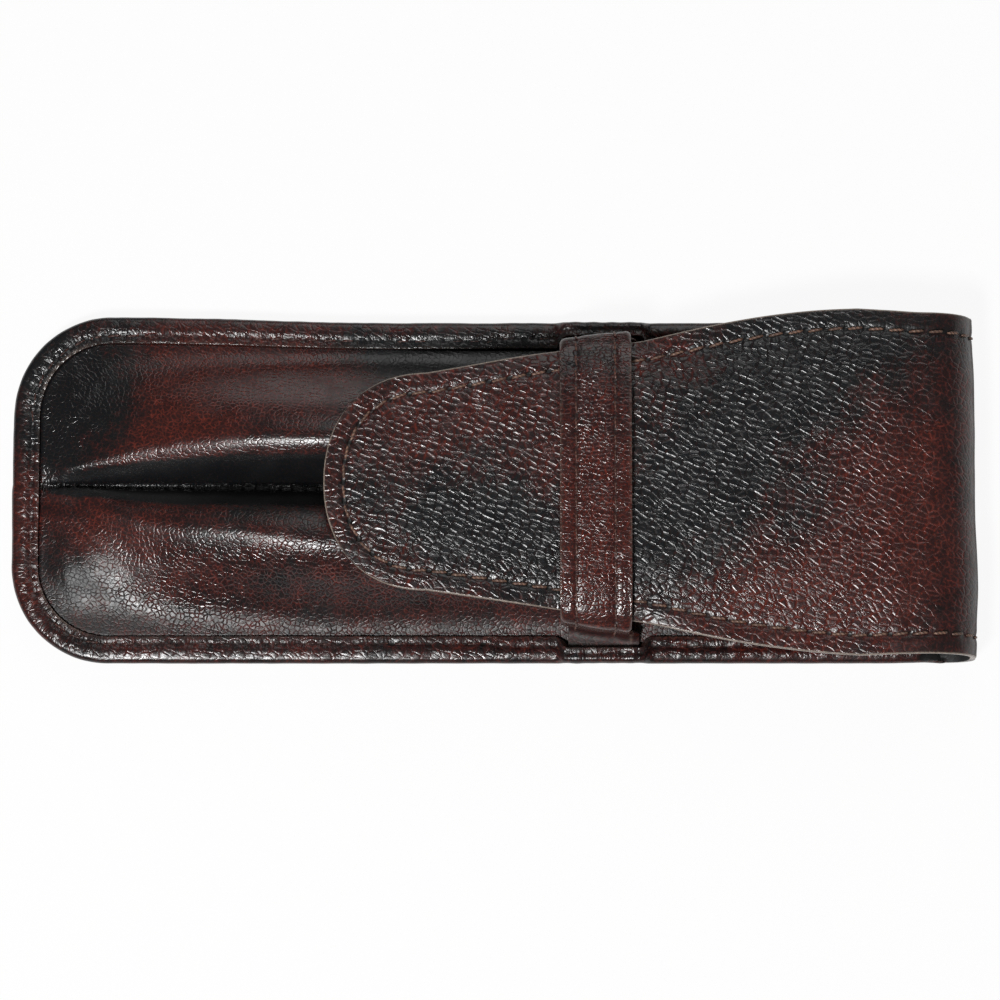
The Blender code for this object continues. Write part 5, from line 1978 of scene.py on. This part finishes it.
def make_keeper(context):
    """The keeper band over the tongue, with its lining."""
    leather, sewing = context.scene.pouch_leather, context.scene.pouch_sewing
    mould = keeper_mould("keeper_leather", False, step=0.00036)
    points = mould.points
    seams = keeper_seams(sewing)
    along, away = along_seams(points, seams)
    from_edge = np.minimum(points[:, 0] - KEEPER_LEFT, KEEPER_RIGHT - points[:, 0])
    shoulder = keeper_wall(points[:, 0]) - KEEPER_BEND
    past_bend = np.abs(points[:, 1]) - shoulder
    draw, pucker = sewing.draw * KEEPER_DRAW_SHARE, sewing.pucker * KEEPER_PUCKER_SHARE
    heights = drawn_in(along, away, draw, pucker)
    heights += terrace(from_edge, *KEEPER_FULLNESS)
    heights += wave(points, *KEEPER_WAVES)
    turned = points @ np.array(KEEPER_FOLDS_TURN).T
    low_bend = bell(points[:, 1] + shoulder - LOW_BEND_PAST, LOW_BEND_REACH)
    heights += wave(turned, *KEEPER_FOLDS) * low_bend
    mould.swell(heights)
    note_keeper(mould, seams, points, from_edge, past_bend)
    mould.move(fuller_side(mould.points))
    values = (leather, leather.front_cell, leather.depth, *KEEPER_PEBBLES)
    materials = shared_material("pebbled_keeper", leather_material, *values), cut_edge(leather)
    band = mould.piece(materials, KEEPER_LEATHER, round_edge=0.00024)
    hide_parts("keeper_band")
    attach(band, "root")
    mould = keeper_mould("keeper_lining_skin", True, step=0.0007)
    mould.swell(np.full(len(mould.points), -KEEPER_LEATHER - LAYER_GAP))
    mould.move(fuller_side(mould.points))
    lining = mould.piece((lining_leather(leather),), KEEPER_LINING, THIN_EDGE_ROUND)
    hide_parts("keeper_lining")
    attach(lining, "root")


def below_cut(point):
    """Whether a stitch lies on the lower half of the fold."""
    return point[0] > FLAP_START_X and CREASE_CLEARANCE < point[2] < WALL_CUT_Z


def above_fold(point):
    """Whether a stitch lies past the middle of the fold, on the flap."""
    return point[2] >= WALL_CUT_Z


def make_stitching(context):
    """Every row of thread, as it shows on the outside and on the inside."""
    sewing = context.scene.pouch_sewing
    tan = shared_material("tan_thread", thread_material, sewing.tan)
    brown = shared_material("brown_thread", thread_material, sewing.brown)
    thread, fine, sink = sewing.thread, sewing.fine_thread, sewing.draw * SINK_SHARE
    top, under = margin_seams(sewing)
    valley = valley_seam(sewing)
    for seam in (top, under, valley):
        seam.line = tapered(seam.line)
    row = stitches("margin_row", top, fine, sink, brown)
    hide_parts("edge_stitching")
    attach(row, "root")
    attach(stitches("margin_row_under", under, fine, fine * UNDER_SINK_SHARE, brown), "root")
    row = stitches("valley_row", valley, fine, VALLEY_SINK, brown)
    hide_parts("seam_stitching")
    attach(row, "root")
    rust = shared_material("rust_thread", thread_material, sewing.rust)
    for word, seam in zip(("front", "rear"), keeper_seams(sewing)):
        seam.line = fuller_side(seam.line)
        row = stitches(f"keeper_row_{word}", seam, fine, sink * KEEPER_SINK_SHARE, rust)
        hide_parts(f"keeper_stitching_{word}")
        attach(row, "root")
    outside = flap_seam(sewing)
    inside = flap_seam(sewing, COVER_LEATHER + LAYER_GAP + FLAP_LINING)
    for seam in (outside, inside):
        seam.line = fuller_side(seam.line)
    row = stitches("fold_row", outside, thread, sink, tan, below_cut)
    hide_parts("fold_stitching_left", "fold_stitching_right")
    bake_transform(row)
    row = stitches("flap_row", outside, thread, sink, tan, above_fold)
    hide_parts("flap_stitching_left", "flap_stitching_right")
    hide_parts("tongue_stitching_left", "tongue_stitching_right")
    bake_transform(row)
    row = stitches("fold_row_inside", inside, fine, 0.0, tan, below_cut)
    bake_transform(row)
    row = stitches("flap_row_inside", inside, fine, 0.0, tan, above_fold)
    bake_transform(row)


def finish_back_lining(context):
    """The carried-over lining of the back, in its own leather."""
    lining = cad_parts["back_lining"]
    lining.data.materials.clear()
    lining.data.materials.append(lining_leather(context.scene.pouch_leather))


def soft_lamp(name, place, aim, size, power):
    """A square softbox at a place, which faces a point."""
    lamp = bpy.data.lights.new(name, "AREA")
    lamp.size = size
    lamp.energy = power
    made = add_object(name, lamp)
    made.location = place
    made.rotation_euler = (aim - place).to_track_quat("-Z", "Y").to_euler()


def lay_floor(stage):
    """A pale floor that looks white to the camera and keeps the pouch's shadow."""
    bm = bmesh.new()
    bmesh.ops.create_grid(bm, x_segments=1, y_segments=1, size=FLOOR_REACH)
    mesh = bpy.data.meshes.new("floor")
    bm.to_mesh(mesh)
    bm.free()
    material, tree, shader = new_material("floor")
    shader.inputs["Base Color"].default_value = opaque(stage.floor)
    shader.inputs["Roughness"].default_value = FLOOR_ROUGHNESS
    path = add_node(tree, "ShaderNodeLightPath").outputs
    seen = reckon(tree, "MAXIMUM", path["Is Camera Ray"], path["Is Glossy Ray"])
    seen = reckon(tree, "MAXIMUM", seen, path["Is Transmission Ray"])
    share = reckon(tree, "MULTIPLY", seen, FLOOR_WHITE_SHARE)
    white = add_node(tree, "ShaderNodeEmission", {"Strength": 1.0}).outputs[0]
    mixed = add_node(tree, "ShaderNodeMixShader", {0: share, 1: shader.outputs[0], 2: white})
    output = next(node for node in tree.nodes if node.type == "OUTPUT_MATERIAL")
    tree.links.new(mixed.outputs[0], output.inputs["Surface"])
    mesh.materials.append(material)
    floor = add_object("floor", mesh)
    floor.location.z = -FLOOR_GAP


def light_room(brightness):
    """A grey room, which the camera sees as white."""
    world = bpy.data.worlds.new("room")
    world.use_nodes = True
    tree = world.node_tree
    room = tree.nodes["Background"]
    room.inputs["Color"].default_value = opaque(WHITE)
    room.inputs["Strength"].default_value = brightness
    white = add_node(tree, "ShaderNodeBackground", {"Color": opaque(WHITE), "Strength": 1.0})
    path = add_node(tree, "ShaderNodeLightPath").outputs["Is Camera Ray"]
    inputs = {0: path, 1: room.outputs[0], 2: white.outputs[0]}
    mixed = add_node(tree, "ShaderNodeMixShader", inputs)
    output = next(node for node in tree.nodes if node.type == "OUTPUT_WORLD")
    tree.links.new(mixed.outputs[0], output.inputs["Surface"])
    bpy.context.scene.world = world


def place_camera(stage):
    """The camera, steeply above the pouch, as in the photograph."""
    aim = Vector((PICTURE_CENTRE[0], PICTURE_CENTRE[1], 0.0))
    away = Vector((0.0, -math.cos(stage.elevation), math.sin(stage.elevation)))
    data = bpy.data.cameras.new("camera")
    data.lens = stage.lens
    data.clip_start = CLIP_START
    camera = add_object("camera", data)
    camera.location = aim + away * stage.distance
    camera.rotation_euler = (-away).to_track_quat("-Z", "Y").to_euler()
    bpy.context.scene.camera = camera


class POUCH_OT_stage(bpy.types.Operator):
    """Lays the floor, and sets up the camera, the lamps and the room"""

    bl_idname = "pouch.stage"
    bl_label = "Stage"

    def execute(self, context):
        stage = context.scene.pouch_stage
        lay_floor(stage)
        light_room(stage.world)
        place_camera(stage)
        aim = Vector((0.0, 0.0, FLAP_TOP))
        soft_lamp("key", Vector(KEY_PLACE), aim, KEY_SIZE, stage.key_power)
        soft_lamp("fill", Vector(FILL_PLACE), aim, FILL_SIZE, stage.fill_power)
        context.scene.view_settings.view_transform = "Standard"
        return {"FINISHED"}


class POUCH_OT_back(bpy.types.Operator):
    """Models the back leather with its turned margins, and finishes the back's lining"""

    bl_idname = "pouch.back"
    bl_label = "Back"

    def execute(self, context):
        make_back(context)
        finish_back_lining(context)
        return {"FINISHED"}


class POUCH_OT_front(bpy.types.Operator):
    """Models the front with its two pen pockets and their linings"""

    bl_idname = "pouch.front"
    bl_label = "Front"

    def execute(self, context):
        make_front(context)
        return {"FINISHED"}


class POUCH_OT_flap(bpy.types.Operator):
    """Models the flap with its fold, its tongue and its lining"""

    bl_idname = "pouch.flap"
    bl_label = "Flap"

    def execute(self, context):
        make_flap(context)
        return {"FINISHED"}


class POUCH_OT_keeper(bpy.types.Operator):
    """Models the keeper band and its lining"""

    bl_idname = "pouch.keeper"
    bl_label = "Keeper"

    def execute(self, context):
        make_keeper(context)
        return {"FINISHED"}


class POUCH_OT_stitching(bpy.types.Operator):
    """Sews every row of stitches"""

    bl_idname = "pouch.stitching"
    bl_label = "Stitching"

    def execute(self, context):
        make_stitching(context)
        return {"FINISHED"}


class POUCH_PT_pouch(bpy.types.Panel):
    """Makes the pouch piece by piece"""

    bl_label = "Two Pen Pouch"
    bl_idname = "POUCH_PT_pouch"
    bl_space_type = "VIEW_3D"
    bl_region_type = "UI"
    bl_category = "Pouch"

    def draw(self, context):
        for operator in OPERATORS:
            self.layout.operator(operator.bl_idname)
        scene = context.scene
        for group in (scene.pouch_leather, scene.pouch_sewing, scene.pouch_stage):
            column = self.layout.column()
            for name in group.__annotations__:
                column.prop(group, name)


OPERATORS = (
    POUCH_OT_stage,
    POUCH_OT_back,
    POUCH_OT_front,
    POUCH_OT_flap,
    POUCH_OT_keeper,
    POUCH_OT_stitching,
)
CLASSES = (PouchLeather, PouchSewing, PouchStage, *OPERATORS, POUCH_PT_pouch)


def register():
    for kind in CLASSES:
        bpy.utils.register_class(kind)
    bpy.types.Scene.pouch_leather = PointerProperty(type=PouchLeather)
    bpy.types.Scene.pouch_sewing = PointerProperty(type=PouchSewing)
    bpy.types.Scene.pouch_stage = PointerProperty(type=PouchStage)


def unregister():
    del bpy.types.Scene.pouch_leather
    del bpy.types.Scene.pouch_sewing
    del bpy.types.Scene.pouch_stage
    for kind in reversed(CLASSES):
        bpy.utils.unregister_class(kind)


def main():
    register()
    bpy.ops.pouch.stage()
    bpy.ops.pouch.back()
    bpy.ops.pouch.front()
    bpy.ops.pouch.flap()
    bpy.ops.pouch.keeper()
    bpy.ops.pouch.stitching()


if __name__ == "__main__":
    main()
